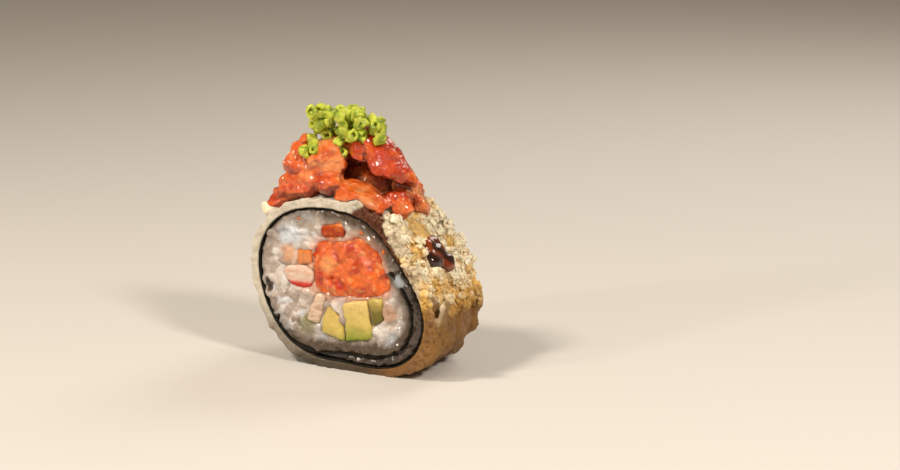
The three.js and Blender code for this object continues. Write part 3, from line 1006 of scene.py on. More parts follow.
    def _stained(self, place: Vector, tone: float) -> Vector:
        """A grain's colour by its tone, from clear to milky, and by the stains it lies in."""
        colour = self.clear.lerp(self.milky, tone)
        colour = colour.lerp(self.bluish, 0.6 * ramp(tone, 0.7, 0.95))
        for stain in self.stains:
            colour = self._touched(colour, place, stain)
        return colour

    @staticmethod
    def _between_layers(section: Section, place: Vector) -> float:
        """1 in the thin rice between the two layers of nori, and 0 elsewhere."""
        start, overlap, _ = section.seam
        angle = section.angle(place)
        sweep = (start - math.degrees(angle)) % 360
        if sweep > overlap:
            return 0.0
        x, z = section.point(angle, -section.nori_inset(sweep) - 0.3)
        out = math.hypot(place.x, place.z - section.height) - math.hypot(x, z - section.height)
        return ramp(out, -0.2, 0.2)

    def build(self, section: Section) -> list[bpy.types.Object]:
        """Builds both faces and the rice between them.

        Args:
            section: The roll's section.

        Returns:
            The finished pieces.
        """
        core = node_copy("rice")
        inner = section.length / 2 - self.slab - 0.05
        keep_beyond(core, -inner, 1)
        keep_beyond(core, inner, -1)
        return [
            self._face(section, -1, "rice_front"),
            self._face(section, 1, "rice_back"),
            finish_piece(core, "rice_core", BOILED_RICE, "rice", lambda p, n: self.milky, ["rice"]),
        ]


@dataclass(frozen=True)
class Nori:
    """The sheet of seaweed, wound once round and on over its own inner end.

    Attributes:
        ragged: Pitch and height of its torn edges.
        step: Sweep between its corners.
    """

    ragged: tuple[float, float] = (2.2, 0.3)
    step: float = 2.0
    black: Vector = linear("#14110E")
    green: Vector = linear("#26241B")

    def build(self, section: Section) -> bpy.types.Object:
        """Builds the sheet.

        Args:
            section: The roll's section.

        Returns:
            The finished piece.
        """
        start, overlap, _ = section.seam
        whole = 360 + overlap
        half = section.length / 2
        pitch, height = self.ragged

        def corner(sweep: float, y: float) -> Vector:
            """A point of the sheet's middle surface."""
            angle = math.radians(start - sweep)
            x, z = section.point(angle, -(section.nori_inset(sweep) + 0.2))
            return Vector((x, y, z))

        bm = bmesh.new()
        count = int(whole / self.step)
        chain = [bm.verts.new(corner(i * self.step, -half)) for i in range(count + 1)]
        edges = [bm.edges.new(pair) for pair in zip(chain, chain[1:])]
        rows = 14
        for _ in range(rows):
            made = bmesh.ops.extrude_edge_only(bm, edges=edges)["geom"]
            verts = [item for item in made if isinstance(item, bmesh.types.BMVert)]
            edges = [item for item in made if isinstance(item, bmesh.types.BMEdge)]
            bmesh.ops.translate(bm, verts=verts, vec=(0, section.length / rows, 0))
        for vert in bm.verts:
            if abs(vert.co.y) > half - 0.01:
                tear = height * (bumps(vert.co, pitch, 4) + 0.5 * bumps(vert.co, pitch / 3, 6))
                vert.co.y += math.copysign(tear, vert.co.y)
        bm = modified(bm, "SOLIDIFY", thickness=0.26, offset=0)

        def tint(place: Vector, _normal: Vector) -> Vector:
            """Near black with greener blotches."""
            return self.black.lerp(self.green, ramp(bumps(place, 1.6, 1), -0.2, 0.6))

        return finish_piece(bm, "nori_sheet", DAMP_NORI, "nori", tint, ["nori"])


@dataclass(frozen=True)
class Slab:
    """A smooth patch on the craggy flank.

    Attributes:
        degrees: Angle of its middle.
        y: Y of its middle.
        half: Half its length round the roll, and half its width.
        tilt: How far its lower end leans to the back.
        thick: Half the thickness of the batter flake there, or 0 where there is none.
        colour: Its linear colour.
    """

    degrees: float
    y: float
    half: tuple[float, float]
    tilt: float
    thick: float
    colour: Vector

    def share(self, degrees: float, y: float) -> float:
        """1 on the patch, falling to 0 off it, at an angle in degrees and a Y."""
        up, along = 0.43 * (degrees - self.degrees), y - self.y
        lean = math.radians(self.tilt)
        far = (up * math.cos(lean) - along * math.sin(lean)) / self.half[0]
        wide = (up * math.sin(lean) + along * math.cos(lean)) / self.half[1]
        return ramp(math.hypot(far, wide), 1.15, 0.8)


@dataclass(frozen=True)
class Crust:
    """Batter and breadcrumb, thin on the left, thick and craggy on the right.

    Attributes:
        thickness: Least thickness, its swell, the angle that faces and how sharp it is.
        foot: Swell of the foot, the share of it taken off at the back, its angle and spread.
        crags: Least cragginess, how much more there is, and the angle that faces.
        pitches: Pitch of the big crags and of the small ones.
        clumps: Pitch and height of the crumb clumps, from coarse to fine.
        slabs: The smooth patches on the flank.
        flakes: Count, arc, sizes and lift of each kind of breadcrumb flake.
        rim_flakes: How many flakes stand on the edges round both cut faces.
        crumbs: Count, sizes and detail of each kind of loose crumb.
        edge: How far off the nori the crumbs on the cut edges lie.
        proud: How far crumbs may stand out beyond a cut face.
        voxel: Width of the faces.
    """

    thickness: tuple[float, float, float, float] = (1.7, 1.5, 28, 4)
    foot: tuple[float, float, float, float] = (3.2, 0.35, -28, 13)
    crags: tuple[float, float, float] = (0.25, 0.95, 25)
    pitches: tuple[float, float] = (8.5, 4.6)
    clumps: tuple[tuple[float, float], ...] = ((4.2, 1.4), (1.9, 0.75), (0.95, 0.4))
    slabs: tuple[Slab, ...] = (
        Slab(40, -1.8, (5.6, 2.3), 28, 0.9, linear("#DDB362")),
        Slab(-15, -8.7, (7.4, 2.0), 12, 1.1, linear("#86622F")),
        Slab(21, -1.6, (3.8, 3.4), 0, 0.0, linear("#6A3A1A")),
    )
    flakes: tuple[tuple[int, tuple[float, float], tuple[float, float], float], ...] = (
        (95, (-30, 64), (1.5, 3.2), 0.1),
        (90, (64, 325), (0.6, 1.3), -0.4),
    )
    rim_flakes: int = 130
    crumbs: tuple[tuple[int, tuple[float, float], int], ...] = (
        (230, (0.7, 1.3), 2),
        (3900, (0.22, 0.5), 1),
    )
    edge: tuple[float, float] = (0.5, 4.2)
    proud: float = 1.42
    voxel: float = 0.34
    batter: Vector = linear("#CFC5B4")
    cream: Vector = linear("#FBEDCE")
    golden: Vector = linear("#F0C069")
    # Toasted brown, which on the low right flank also stands in for painted shade.
    toasted_and_shade: Vector = linear("#7C5428")
    brown: Vector = linear("#6B421C")
    soaked: Vector = linear("#5E260C")
    # Painted shade: grey for the lower batter.
    bottom_shade: Vector = linear("#766A5A")
    # Painted shade: near black for the batter's lowest edge.
    floor_shade: Vector = linear("#3C3322")

    def cragginess(self, angle: float) -> float:
        """How craggy the crust is at an angle in radians."""
        least, more, towards = self.crags
        return least + more * (0.5 + 0.5 * math.cos(angle - math.radians(towards))) ** 2

    def surface(self, section: Section, angle: float, y: float, grown: float = 0.0) -> Vector:
        """A point of the crust's outside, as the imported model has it."""
        least, swell, towards, sharpness = self.thickness
        foot, hollow, foot_angle, spread = self.foot
        off = (angle - math.radians(foot_angle)) / math.radians(spread)
        thick = least + swell * (0.5 + 0.5 * math.cos(angle - math.radians(towards))) ** sharpness
        thick += foot * (0.5 - y / section.length - hollow) * math.exp(-off * off)
        x, z = section.point(angle, 0)
        coarse, fine = self.pitches
        crag = wave(x, y, z, coarse, 3) + 0.8 * wave(x, y, z, fine, 5)
        x, z = section.point(angle, section.gap + thick + self.cragginess(angle) * crag + grown)
        return Vector((x, y, z))

    def flank(self, angle: float) -> float:
        """1 on the craggy right flank, falling to 0 on the smooth batter of the rest."""
        return ramp(math.cos(angle - math.radians(15)), 0.45, 0.85)

    def smooth(self, degrees: float, y: float) -> float:
        """1 on a slab of the flank and on its low batter, and 0 among the crumbs."""
        on_slab = max(slab.share(degrees, y) for slab in self.slabs)
        return max(on_slab, ramp(degrees, -4, -20))

    def clump(self, section: Section, place: Vector) -> float:
        """Height of the crumb clumps at a place, from about -0.5 in crevices to 0.5 on tips."""
        total = 0.0
        for pitch, height in self.clumps:
            bent = place + 0.35 * pitch * Vector((bumps(place, pitch, 7), bumps(place, pitch, 9), 0))
            distances, _ = noise.voronoi(bent / pitch)
            total += height * (0.55 - distances[0])
        angle = section.angle(place)
        fluffy = self.flank(angle) * (1 - self.smooth(math.degrees(angle), place.y))
        return total * (0.12 + 0.88 * fluffy)

    def _shell(self, section: Section) -> Mesh:
        """The closed crust: its outside, its bore, and an uneven edge round each end."""
        half = section.length / 2 + 0.25

        def place(around: float, through: float) -> Vector:
            """Runs along the outside to the back, down that edge, and back along the bore."""
            angle = (around % 1.0) * math.tau
            angle = angle - math.tau if angle > math.pi else angle
            end, out = self._station(through % 1.0)
            x, z = section.point(angle, 0.0)
            point = Vector((x, end * half, z)).lerp(self.surface(section, angle, end * half), out)
            edge = 0.4 * wave(point.x, 0, point.z, 5, 4) + 0.35 * bumps(point, 1.6, 8)
            point.y += math.copysign(edge * ramp(abs(end), 0.83, 1), end)
            return point

        return closed_band(300, 80, place)

    @staticmethod
    def _station(share: float) -> tuple[float, float]:
        """Where a share of the way round the wall lies: from end to end, and in to out."""
        stations = ((0, -1, 1), (0.55, 1, 1), (0.6, 1, 0), (0.95, -1, 0), (1, -1, 1))
        for (low, end_a, out_a), (high, end_b, out_b) in zip(stations, stations[1:]):
            if share <= high:
                t = (share - low) / (high - low)
                return end_a + (end_b - end_a) * t, out_a + (out_b - out_a) * t
        return -1, 1

    def _add_flakes(self, bm: Mesh, section: Section) -> None:
        """Adds breadcrumb flakes, most and the largest on the right flank."""
        roll = random.Random(23)
        for count, arc, sizes, lift in self.flakes:
            for index in range(count):
                degrees = roll.uniform(*arc)
                y = roll.uniform(-section.length / 2 + 0.4, section.length / 2 - 0.4)
                size = roll.uniform(*sizes) * roll.uniform(0.7, 1)
                at = self.surface(section, math.radians(degrees), y, lift)
                half = (size * roll.uniform(0.3, 0.55), size * roll.uniform(0.6, 1), size * 0.6)
                turn = (roll.uniform(-60, 60), roll.uniform(-35, 35) - degrees, roll.uniform(-30, 30))
                if self.smooth(degrees, y) > 0.5:
                    continue
                Lump(tuple(at), half, turn, facets=6, rough=0.3, detail=3).add_to(bm, index)
        for index in range(self.rim_flakes):
            degrees = roll.uniform(-4, 60)
            least, _, _, _ = self.thickness
            x, z = section.point(math.radians(degrees), least * roll.uniform(0.8, 1.9))
            y = roll.choice((-1, 1)) * section.length / 2
            half = tuple(roll.uniform(0.5, 1.1) for _ in range(3))
            Lump((x, y, z), half, (9 * index, 0, 0), facets=6, rough=0.3, detail=3).add_to(bm, index)
        for slab in self.slabs:
            if slab.thick:
                at = self.surface(section, math.radians(slab.degrees), slab.y, 0.4)
                half = (slab.thick, slab.half[1], slab.half[0])
                turn = (slab.tilt, -slab.degrees, 0)
                Lump(tuple(at), half, turn, 2.6, facets=5, rough=0.12, detail=5).add_to(bm, 7)

    def tint(self, section: Section, skin: BVHTree) -> Tint:
        """Makes the crust's colouring.

        Args:
            section: The roll's section.
            skin: The crust's surface, whose crevices get painted shade.

        Returns:
            The colour by place and normal.
        """

        def colour_at(place: Vector, normal: Vector) -> Vector:
            """Cream where thin and on tips, the tips partly painted highlight; golden below; brown low
            down, partly painted shade; painted shade in crevices and at the bottom.
            """
            angle = section.angle(place)
            degrees = math.degrees(angle)
            level = self.surface(section, angle, place.y)
            rise = math.hypot(place.x, place.z - section.height)
            rise -= math.hypot(level.x, level.z - section.height)
            flank = self.flank(angle)
            low = ramp(degrees + 6 * bumps(place, 3), 2, -16) * ramp(degrees, -95, -60)
            blotch = bumps(place, 7, 2) + 0.5 * bumps(place, 2.6, 9) + 0.25 * bumps(place, 1.1, 4)
            streak = bumps(Vector((place.x, 2.5 * place.y, 0.5 * place.z)), 2.2, 5)
            # Painted shade: the batter turns greyer towards the bottom.
            base = self.batter.lerp(self.bottom_shade, 0.85 * ramp(place.z + 3 * bumps(place, 2), 17, 5))
            colour = base.lerp(self.cream, flank)
            colour = colour.lerp(self.golden, flank * ramp(blotch - degrees / 90, -0.6, 0.35))
            # Paler raised tips: partly the crumb's own cream, partly painted highlight.
            tip = ramp(rise, 0.5, 1.5) * (1 - low)
            colour = colour.lerp(self.cream, 0.8 * tip)
            # Browner on the low right flank: partly the batter's own browning, partly painted shade.
            browned = self.toasted_and_shade.lerp(self.brown, 0.7 * ramp(place.y + 3 * streak, -9, -3))
            colour = colour.lerp(browned, 0.9 * low)
            for slab in self.slabs:
                shaded = slab.colour.lerp(self.brown, 0.35 * ramp(streak, 0, 0.5))
                colour = colour.lerp(shaded, 0.9 * slab.share(degrees, place.y))
            # Painted shade: browner in crevices on the flank and the low batter.
            crevice = shut_in(skin, place, normal, 1.8)
            colour = colour.lerp(self.brown, 0.78 * crevice * max(flank, low))
            rim = flank * ramp(abs(place.y), section.length / 2 - 0.9, section.length / 2 + 0.1)
            colour = colour.lerp(self.toasted_and_shade, 0.4 * rim * ramp(blotch, 0.3, -0.3))
            x, z = section.point(angle, 0)
            off = math.hypot(place.x, place.z - section.height) - math.hypot(x, z - section.height)
            reach = 1.1 + 2.6 * ramp(abs(degrees - 62), 17, 6) + 0.9 * bumps(place, 1.6)
            ragged = degrees - 46 + 9 * bumps(place, 1.8, 3)
            wetted = ramp(off, reach + 0.5, reach - 0.2) * ramp(abs(ragged), 36, 28)
            wetted *= ramp(place.y, -8, -10.5)
            # Painted shade: darkest at the very bottom, near the floor.
            under = ramp(place.z + bumps(place, 2), 4.5, 1.5) * ramp(place.x, 15, 7)
            return colour.lerp(self.floor_shade, 0.8 * under).lerp(self.soaked, 0.95 * wetted)

        return colour_at

    def _loose(self, skin: BVHTree, section: Section) -> Mesh:
        """Scatters angular crumbs, most of them over the flank, sitting on the fused crust."""
        roll = random.Random(61)
        bm = bmesh.new()
        for count, sizes, detail in self.crumbs:
            for index in range(count):
                degrees = roll.gauss(18, 27) if index % 25 else roll.uniform(60, 300)
                if index % 9 == 3:
                    degrees = roll.uniform(40, 78)
                y = roll.uniform(-section.length / 2, section.length / 2)
                angle = math.radians(degrees)
                out = Vector((math.cos(angle), 0, math.sin(angle)))
                start = Vector((0, y, section.height)) + 60 * out
                if index % 3 == 0:
                    x, z = section.point(angle, roll.uniform(*self.edge))
                    out = Vector((0, math.copysign(1, y), 0))
                    start = Vector((x, 60 * out.y, z))
                hit, normal, _, _ = skin.ray_cast(start, -out)
                if hit is None or hit.z < 1.5 or self.smooth(degrees, y) > 0.5 and index % 9:
                    continue
                if abs(degrees - 16) > 62 and detail == 2:
                    continue
                size = roll.uniform(*sizes)
                half = (size * roll.uniform(0.3, 0.6), size, size * roll.uniform(0.5, 0.9))
                turn = (roll.uniform(-90, 90), roll.gauss(0, 35) - degrees, roll.gauss(0, 35))
                at = tuple(hit + normal * 0.1 * size)
                if abs(at[1]) + 1.2 * size > section.length / 2 + self.proud:
                    continue
                Lump(at, half, turn, facets=5, rough=0.35, detail=detail).add_to(bm, index)
        return bm

    def build(self, section: Section) -> list[bpy.types.Object]:
        """Builds the crust and its loose crumbs.

        Args:
            section: The roll's section.

        Returns:
            The finished pieces.
        """
        bm = self._shell(section)
        self._add_flakes(bm, section)
        Lump((-20.8, -8.9, 36.9), (3.4, 2.4, 1.6), (0, 22, 0), rough=0.15).add_to(bm, 5)
        bm = fused(bm, self.voxel, 1)

        def height(place: Vector) -> float:
            """Clumps and torn relief outside, and none in the bore."""
            x, z = section.point(section.angle(place), 0.7)
            out = math.hypot(place.x, place.z - section.height) - math.hypot(x, z - section.height)
            rough = 0.25 * torn(place, 1.2, 3) * self.cragginess(section.angle(place))
            low = ramp(math.degrees(section.angle(place)), -4, -20) * ramp(place.x, 4, 12)
            streak = bumps(Vector((place.x, 2.5 * place.y, 0.5 * place.z)), 2.2, 5)
            rough += 0.2 * bumps(place, 1.3, 6) + 0.5 * low * streak
            rough += 0.35 * self.flank(section.angle(place)) * bumps(place, 0.9, 8)
            return (self.clump(section, place) + rough) * ramp(out, 0, 0.8)

        roughen(bm, height)
        for vert in bm.verts:
            vert.co.z = max(0.0, vert.co.z)
        skin = BVHTree.FromBMesh(bm)
        crumbs = self._loose(skin, section)
        tint = self.tint(section, skin)
        return [
            finish_piece(bm, "crust", FRIED_CRUMB, "crust", tint, ["batter_crust"]),
            finish_piece(crumbs, "crumbs", FRIED_CRUMB, "crust", tint),
        ]


@dataclass(frozen=True)
class FishFilling:
    """The seasoned minced fish at the roll's heart.

    Attributes:
        lumps: How many lumps show at each cut face.
    """

    lumps: int = 60
    red: Vector = linear("#B8320A")
    orange: Vector = linear("#E26820")
    pale: Vector = linear("#EEA662")

    def build(self, section: Section) -> bpy.types.Object:
        """Builds the filling.

        Args:
            section: The roll's section.

        Returns:
            The finished piece.
        """
        roll = random.Random(11)
        cut = section.length / 2
        bm = node_copy("fish_filling")
        for side in (-1, 1):
            for index in range(self.lumps):
                x = roll.uniform(-7, 13.5)
                z = roll.uniform(18.5, 32.5)
                if edge_distance(FISH_SECTION, x, z) > -0.9:
                    continue
                half = (roll.uniform(1, 2.6), roll.uniform(0.7, 1.2), roll.uniform(0.9, 1.9))
                at = (x, side * (cut - roll.uniform(0.1, 1.0)), z)
                turn = (0, roll.uniform(0, 180), roll.uniform(-20, 20))
                Lump(at, half, turn, facets=5, rough=0.25, detail=3).add_to(bm, index)
        bm = fused(bm, 0.32, 1)
        roughen(bm, lambda p: 0.22 * bumps(p, 1.1, 2) + 0.1 * bumps(p, 0.5, 4))

        skin = BVHTree.FromBMesh(bm)

        def tint(place: Vector, normal: Vector) -> Vector:
            """Orange with redder veins, painted shade as redder crevices, and one paler lump."""
            vein = ramp(bumps(place, 3.2, 5) + 0.5 * bumps(place, 1.2, 6), -0.7, 0.15)
            # Painted shade: redder in crevices.
            vein *= 1 - 1.2 * shut_in(skin, place, normal, 1.5)
            vein = clamp(vein)
            colour = self.red.lerp(self.orange, vein)
            lump = 1 - ramp(math.hypot(place.x + 3.2, place.z - 25.8), 1.2, 3.0)
            flecks = ramp(bumps(place, 1.3, 12), 0.25, 0.5)
            return colour.lerp(self.pale, clamp(0.7 * lump + 0.55 * flecks))

        return finish_piece(bm, "fish_heart", DRESSED_FISH, "spicy_fish", tint, ["fish_filling"])


@dataclass(frozen=True)
class Topping:
    """The mound of chopped raw fish, and the cut chives on its crown.

    Attributes:
        core: The mound's hidden core.
        pieces: The chopped pieces that show, with each one's tone from deep to pale.
        bits: How many small bits lie on them.
        chive: Outer radius, wall and length of a cut chive.
        clumps: Middle, spread and number of the chives in each clump.
    """

    core: Lump = Lump((-3.5, 2.2, 42.5), (12.5, 6.2, 8), rough=0.05)
    pieces: tuple[tuple[tuple, tuple, tuple, float], ...] = (
        ((-13.5, -5.8, 50), (5.4, 4.2, 4.8), (10, -20, 15), 0.55),
        ((-5.8, -6.5, 50.2), (4.6, 3.8, 4.8), (0, 35, 10), 0.75),
        ((7.4, -2.3, 51), (9.8, 5, 3.8), (0, 44, -6), 0.05),
        ((-13.6, -7, 44.2), (5.6, 3.9, 4.2), (0, -35, 8), 0.6),
        ((-19.2, -7.2, 39.3), (4.6, 3.4, 2.7), (0, -42, 0), 0.4),
        ((4.6, -7.8, 42.9), (8.8, 3.9, 3), (12, 10, 4), 0.7),
        ((12.4, 1.6, 42.4), (3.0, 4.4, 6.2), (0, -32, 0), 0.75),
        ((-5.2, -7.5, 45), (6.4, 3.3, 2.8), (8, 14, -6), 0.45),
        ((-4.8, -0.4, 52.4), (7.2, 5.4, 3.9), (0, 4, 20), 0.4),
        ((-13, 3.6, 47.5), (6.2, 5, 4.6), (0, -28, 30), 0.6),
        ((1.6, 5.1, 49), (6.8, 4.7, 4.2), (-20, 22, -20), 0.45),
        ((7.6, 6.2, 43), (5.2, 4, 4.3), (-20, 30, 0), 0.6),
        ((-5, 7.6, 44.6), (7.2, 3.5, 3.8), (-25, 0, 10), 0.5),
        ((-16.6, 2.6, 41), (4.6, 4.6, 3.4), (0, -45, 0), 0.65),
        ((12.6, -4, 41.2), (3.7, 3.1, 3.5), (0, 40, 20), 0.4),
        ((1.8, -3.6, 53.4), (4.8, 3.6, 2.6), (0, 12, 0), 0.35),
    )
    bits: int = 36
    chive: tuple[float, float, float] = (0.9, 0.5, 2.6)
    clumps: tuple[tuple[float, float, float, int], ...] = (
        (-9.2, -4.6, 2.3, 40),
        (-1.0, -2.6, 2.0, 36),
        (-4.9, -3.6, 1.6, 14),
        (4.9, -3.2, 0.3, 3),
        (-8.9, -8.0, 1.6, 6),
        (-2.2, -6.4, 1.4, 8),
        (2.4, -5.2, 1.5, 9),
        (7.6, -4.8, 1.3, 6),
        (-4.0, 2.5, 4.0, 18),
    )
    # Deep red for the painted shade under the fish and in its hollows.
    deep: Vector = linear("#701E0C")
    coral: Vector = linear("#B93A10")
    bright: Vector = linear("#DC6222")
    pink: Vector = linear("#EA9558")
    leaf: Vector = linear("#C6CC4C")
    leaf_dark: Vector = linear("#7E922E")

    def _mound(self, section: Section, crust: Crust) -> Mesh:
        """The fused fish, cut to sit on the crust."""
        bm = bmesh.new()
        self.core.add_to(bm, 1)
        for index, (at, half, turn, _) in enumerate(self.pieces):
            Lump(at, half, turn, 2.8, facets=8, rough=0.13, detail=5).add_to(bm, index)
        roll = random.Random(31)
        skin = BVHTree.FromBMesh(bm)
        for index in range(self.bits):
            x = roll.uniform(-21, 16)
            y = roll.uniform(-10.5, 10)
            hit, normal, _, _ = skin.ray_cast(Vector((x, y, 90)), Vector((0, 0, -1)))
            if hit is None or normal.z < 0.05:
                continue
            half = tuple(roll.uniform(0.7, 1.8) for _ in range(3))
            turn = tuple(roll.uniform(0, 360) for _ in range(3))
            Lump(tuple(hit - normal * 0.5), half, turn, 3.0, 5, 0.2, 3).add_to(bm, index)
        bm = fused(bm, 0.3, 1)
        roughen(bm, lambda p: 0.14 * bumps(p, 2.4, 1) + 0.1 * bumps(p, 0.9, 2))
        return carved(bm, closed_hull(section, crust, 0.1))

    def _tint(self, skin: BVHTree) -> Tint:
        """Makes the fish's colouring, piece by piece, from the fish's own surface."""
        tree = KDTree(len(self.pieces))
        for index, (at, _, _, _) in enumerate(self.pieces):
            tree.insert(at, index)
        tree.balance()

        def colour_at(place: Vector, normal: Vector) -> Vector:
            """Red to coral by piece, with paler torn faces, and painted shade in deep red on downward
            faces and in hollows.
            """
            _, found, _ = tree.find(place + 2 * Vector((bumps(place, 3), bumps(place, 3, 5), 0)))
            tone = self.pieces[found][3] + 0.5 * bumps(place, 3.2, 3) + 0.25 * bumps(place, 1.1, 8)
            colour = self.coral.lerp(self.bright, ramp(tone, 0.15, 0.55))
            colour = colour.lerp(self.pink, 0.8 * ramp(tone, 0.55, 0.95))
            # Painted shade: deep red in hollows and on faces that turn down.
            closed = 0.9 * shut_in(skin, place, normal, 6) + 0.5 * ramp(normal.z, 0.1, -0.6)
            return colour.lerp(self.deep, clamp(closed))

        return colour_at

    def _ring(self, roll: random.Random, at: Vector) -> Mesh:
        """One cut chive: a short crinkled tube."""
        radius, wall, length = self.chive
        radius *= roll.uniform(0.85, 1.15)
        length *= roll.uniform(0.6, 1.1)
        oval = roll.uniform(0.85, 1.18)
        seed = roll.uniform(0, 50)

        def place(around: float, through: float) -> Vector:
            """Runs round the tube's thick crinkled wall."""
            turn = (around % 1.0) * math.tau
            section = (through % 1.0) * math.tau
            out = Vector((math.cos(turn) * oval, math.sin(turn) / oval, 0))
            crinkle = 1 + 0.12 * math.sin(4 * turn + seed) + 0.08 * math.sin(7 * turn - seed)
            point = out * (radius * crinkle + wall * math.cos(section))
            point.z = length / 2 * math.copysign(abs(math.sin(section)) ** 0.6, math.sin(section))
            return point + 0.35 * out * bumps(point, 0.9, seed)

        bm = closed_band(18, 10, place)
        turn = (roll.uniform(0, 180), 0, roll.uniform(0, 360))
        bmesh.ops.transform(bm, matrix=turned(at, turn, (1, 1, 1)), verts=bm.verts)
        return bm

    def _chives(self, mound: BVHTree) -> Mesh:
        """Drops the chives one by one, each on the fish or on those before it."""
        roll = random.Random(5)
        placed: list[Vector] = []
        heap = bmesh.new()
        for x0, y0, spread, count in self.clumps:
            for _ in range(count):
                x = x0 + roll.gauss(0, 0.6 * spread)
                y = y0 + roll.gauss(0, 0.5 * spread)
                hit, _, _, _ = mound.ray_cast(Vector((x, y, 90)), Vector((0, 0, -1)))
                if hit is None:
                    continue
                z = hit.z + 0.6
                for other in placed:
                    away = math.hypot(other.x - x, other.y - y)
                    if away < 1.7:
                        z = max(z, other.z + 0.7 * math.sqrt(1.7**2 - away**2))
                if z < 62.4:
                    placed.append(Vector((x, y, z)))
                    pour(self._ring(roll, placed[-1]), heap)
        return heap

    def build(self, section: Section, crust: Crust) -> list[bpy.types.Object]:
        """Builds the fish and the chives.

        Args:
            section: The roll's section.
            crust: The crust that the fish sits on.

        Returns:
            The finished pieces.
        """
        mound = self._mound(section, crust)
        skin = BVHTree.FromBMesh(mound)
        chives = self._chives(skin)

        def leaf(place: Vector, _normal: Vector) -> Vector:
            """Light green with darker patches."""
            return self.leaf_dark.lerp(self.leaf, ramp(bumps(place, 1.4, 3), -0.45, 0.15))

        return [
            finish_piece(
                mound, "chopped_fish", CHOPPED_RAW_FISH, "raw_fish", self._tint(skin), ["fish_topping"]
            ),
            finish_piece(chives, "chives", CUT_CHIVE, "chive", leaf, ["fish_topping"]),
        ]


def closed_hull(section: Section, crust: Crust, grown: float) -> Mesh:
    """Makes the crust's outside as one closed solid.

    Args:
        section: The roll's section.
        crust: The crust.
        grown: How far the hull stands off the crust.

    Returns:
        The hull.
    """
    length = section.length + 2
    bm = bmesh.new()
    bmesh.ops.create_grid(bm, x_segments=160, y_segments=24, size=1)
    for vert in bm.verts:
        angle = math.pi * vert.co.x
        vert.co = crust.surface(section, angle, vert.co.y * length / 2, grown)
    bmesh.ops.remove_doubles(bm, verts=bm.verts, dist=1e-4)
    bmesh.ops.holes_fill(bm, edges=[edge for edge in bm.edges if edge.is_boundary])
    bmesh.ops.triangulate(bm, faces=bm.faces)
    bmesh.ops.recalc_face_normals(bm, faces=bm.faces)
    return bm


@dataclass(frozen=True)
class Glaze:
    """Dark sauce: a pool caught in the crags of the right flank.

    Attributes:
        pools: Angle, Y and size of each blob.
        level: How far off the nori their middles lie.
    """

    pools: tuple[tuple[float, float, float], ...] = (
        (26, -3.2, 2.5),
        (21, -1.0, 3.2),
        (15, 0.8, 2.4),
        (19, -4.0, 2.5),
        (28, -0.8, 2.3),
    )
    level: float = 4.6
    dark: Vector = linear("#2C1008")
    edge: Vector = linear("#8A3812")

    def build(self, section: Section, crust: Crust) -> bpy.types.Object:
        """Builds the sauce.

        Args:
            section: The roll's section.
            crust: The crust that it lies on; not used.

        Returns:
            The finished piece.
        """
        bm = bmesh.new()
        for index, (degrees, y, size) in enumerate(self.pools):
            x, z = section.point(math.radians(degrees), self.level)
            Lump((x, y, z), (1.4, size, size), (0, -degrees, 0), rough=0.15).add_to(bm, index)
        bm = fused(bm, 0.25, 12)
        return finish_piece(
            bm,
            "sweet_soy",
            SOY_GLAZE,
            "sauce",
            lambda p, n: self.dark.lerp(self.edge, ramp(bumps(p, 2.5, 3), -0.3, 0.5)),
        )


@dataclass(frozen=True)
class Bits:
    """Tiny orange bits between the rice grains of the front.

    Attributes:
        places: X and Z of each bit.
    """

    places: tuple[tuple[float, float], ...] = ((-11.4, 36.3), (6.2, 34.7), (12.4, 30.4), (9.6, 33.4))
    orange: Vector = linear("#CC6A34")

    def build(self, section: Section) -> bpy.types.Object:
        """Builds the bits.

        Args:
            section: The roll's section.

        Returns:
            The finished piece.
        """
        bm = bmesh.new()
        for index, (x, z) in enumerate(self.places):
            at = (x, -section.length / 2 + 0.1, z)
            Lump(at, (0.8, 0.5, 0.5), (0, 40 * index, 0), facets=4, rough=0.3, detail=3).add_to(bm, index)
        return finish_piece(bm, "fish_bits", DRESSED_FISH, "spicy_fish", lambda p, n: self.orange)


# The studio


@dataclass(frozen=True)
class Lamp:
    """A soft studio light aimed at the slice.

    Attributes:
        name: Its name.
        place: Where it hangs, in metres.
        watts: Its power.
        size: Its width in metres.
        colour: Its linear colour.
    """

    name: str
    place: tuple[float, float, float]
    watts: float
    size: float
    colour: Vector = linear("#FFFFFF")

    def hang(self, target: Vector) -> None:
        """Hangs the light and aims it at a point in metres."""
        lamp = bpy.data.lights.new(self.name, "AREA")
        lamp.energy = self.watts
        lamp.size = self.size
        lamp.color = self.colour
        holder = bpy.data.objects.new(self.name, lamp)
        holder.location = self.place
        holder.rotation_euler = (target - Vector(self.place)).to_track_quat("-Z", "Y").to_euler()
        bpy.context.scene.collection.objects.link(holder)


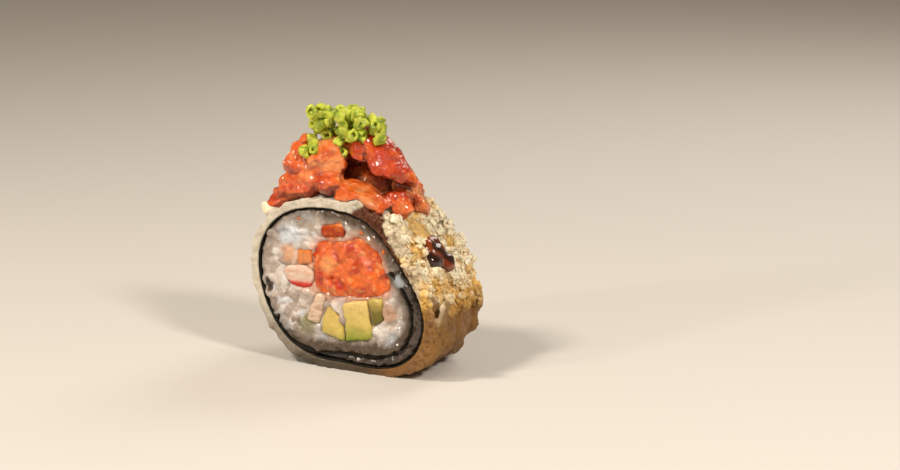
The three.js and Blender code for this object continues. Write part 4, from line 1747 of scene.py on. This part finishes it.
@dataclass(frozen=True)
class Studio:
    """A plain pale floor, soft lights and the camera at the photo's angle.

    Attributes:
        azimuth: How far right of the roll's axis the camera stands.
        elevation: How far above the floor it looks from.
        per_pixel: Size of a pixel at the front face.
        anchor: A point of the front face, and the pixel that shows it.
        frame_size: The photo's size in pixels.
        lens: Focal length for a 36 mm wide sensor.
    """

    azimuth: float = 30
    elevation: float = 12
    per_pixel: float = 0.242
    anchor: tuple[tuple[float, float, float], tuple[float, float]] = (
        (-0.5, -11.5, 20.1),
        (338, 288.5),
    )
    frame_size: tuple[int, int] = (900, 470)
    lens: float = 100
    lamps: tuple[Lamp, ...] = (
        Lamp("key", (-0.22, -0.36, 0.56), 2.8, 0.1, linear("#FFF4E4")),
        Lamp("side", (-0.3, -0.62, 0.3), 1.2, 0.08, linear("#FFF8F0")),
        Lamp("fill", (0.45, -0.2, 0.4), 2.2, 0.09, linear("#FFF6EA")),
        Lamp("rim", (0.1, 0.45, 0.45), 1.3, 0.3, linear("#FFF8F0")),
    )
    backdrop: Vector = linear("#DAD6D0")
    sky: Vector = linear("#DCCAB0")

    def _camera(self) -> None:
        """Places the camera so that the slice lands on the photo's own pixels."""
        sensor = 36.0
        a, e = math.radians(self.azimuth), math.radians(self.elevation)
        right = Vector((math.cos(a), math.sin(a), 0))
        up = Vector((-math.sin(a) * math.sin(e), math.cos(a) * math.sin(e), math.cos(e)))
        back = right.cross(up)
        point, (u, v) = self.anchor
        wide, high = self.frame_size
        aim = Vector(point) + self.per_pixel * ((wide / 2 - u) * right + (v - high / 2) * up)
        away = wide * self.per_pixel * self.lens / sensor
        data = bpy.data.cameras.new("camera")
        data.lens = self.lens
        data.sensor_width = sensor
        data.clip_start = 0.01
        camera = bpy.data.objects.new("camera", data)
        camera.location = (aim + back * away) * MM
        camera.rotation_euler = back.to_track_quat("Z", "Y").to_euler()
        bpy.context.scene.collection.objects.link(camera)
        bpy.context.scene.camera = camera

    def _floor(self) -> None:
        """Lays the floor."""
        bm = bmesh.new()
        bmesh.ops.create_grid(bm, x_segments=1, y_segments=1, size=4.0)
        mesh = bpy.data.meshes.new("floor")
        bm.to_mesh(mesh)
        bm.free()
        floor = bpy.data.objects.new("floor", mesh)
        bpy.context.scene.collection.objects.link(floor)
        material = bpy.data.materials.new("matt_paint")
        material.use_nodes = True
        shader = material.node_tree.nodes["Principled BSDF"]
        shader.inputs["Base Color"].default_value = (*self.backdrop, 1)
        shader.inputs["Roughness"].default_value = 0.7
        mesh.materials.append(material)

    def _sky(self) -> None:
        """Sets an even pale surround."""
        world = bpy.data.worlds.new("surround")
        world.use_nodes = True
        ground = world.node_tree.nodes["Background"]
        ground.inputs["Color"].default_value = (*self.sky, 1)
        ground.inputs["Strength"].default_value = 0.28
        bpy.context.scene.world = world

    def build(self) -> None:
        """Builds the floor, the surround, the lights and the camera."""
        self._floor()
        self._sky()
        for lamp in self.lamps:
            lamp.hang(Vector((0, 0, 0.03)))
        self._camera()
        bpy.context.scene.view_settings.view_transform = "Standard"


def main() -> None:
    """Builds the slice and its studio."""
    logging.basicConfig(level=logging.INFO, format="%(relativeCreated)6.0f ms %(message)s")
    section = Section()
    crust = Crust()
    Rice().build(section)
    Nori().build(section)
    for strip in STRIPS:
        strip.build(section)
    FishFilling().build(section)
    Bits().build(section)
    crust.build(section)
    Glaze().build(section, crust)
    Topping().build(section, crust)
    Studio().build()


if __name__ == "__main__":
    main()
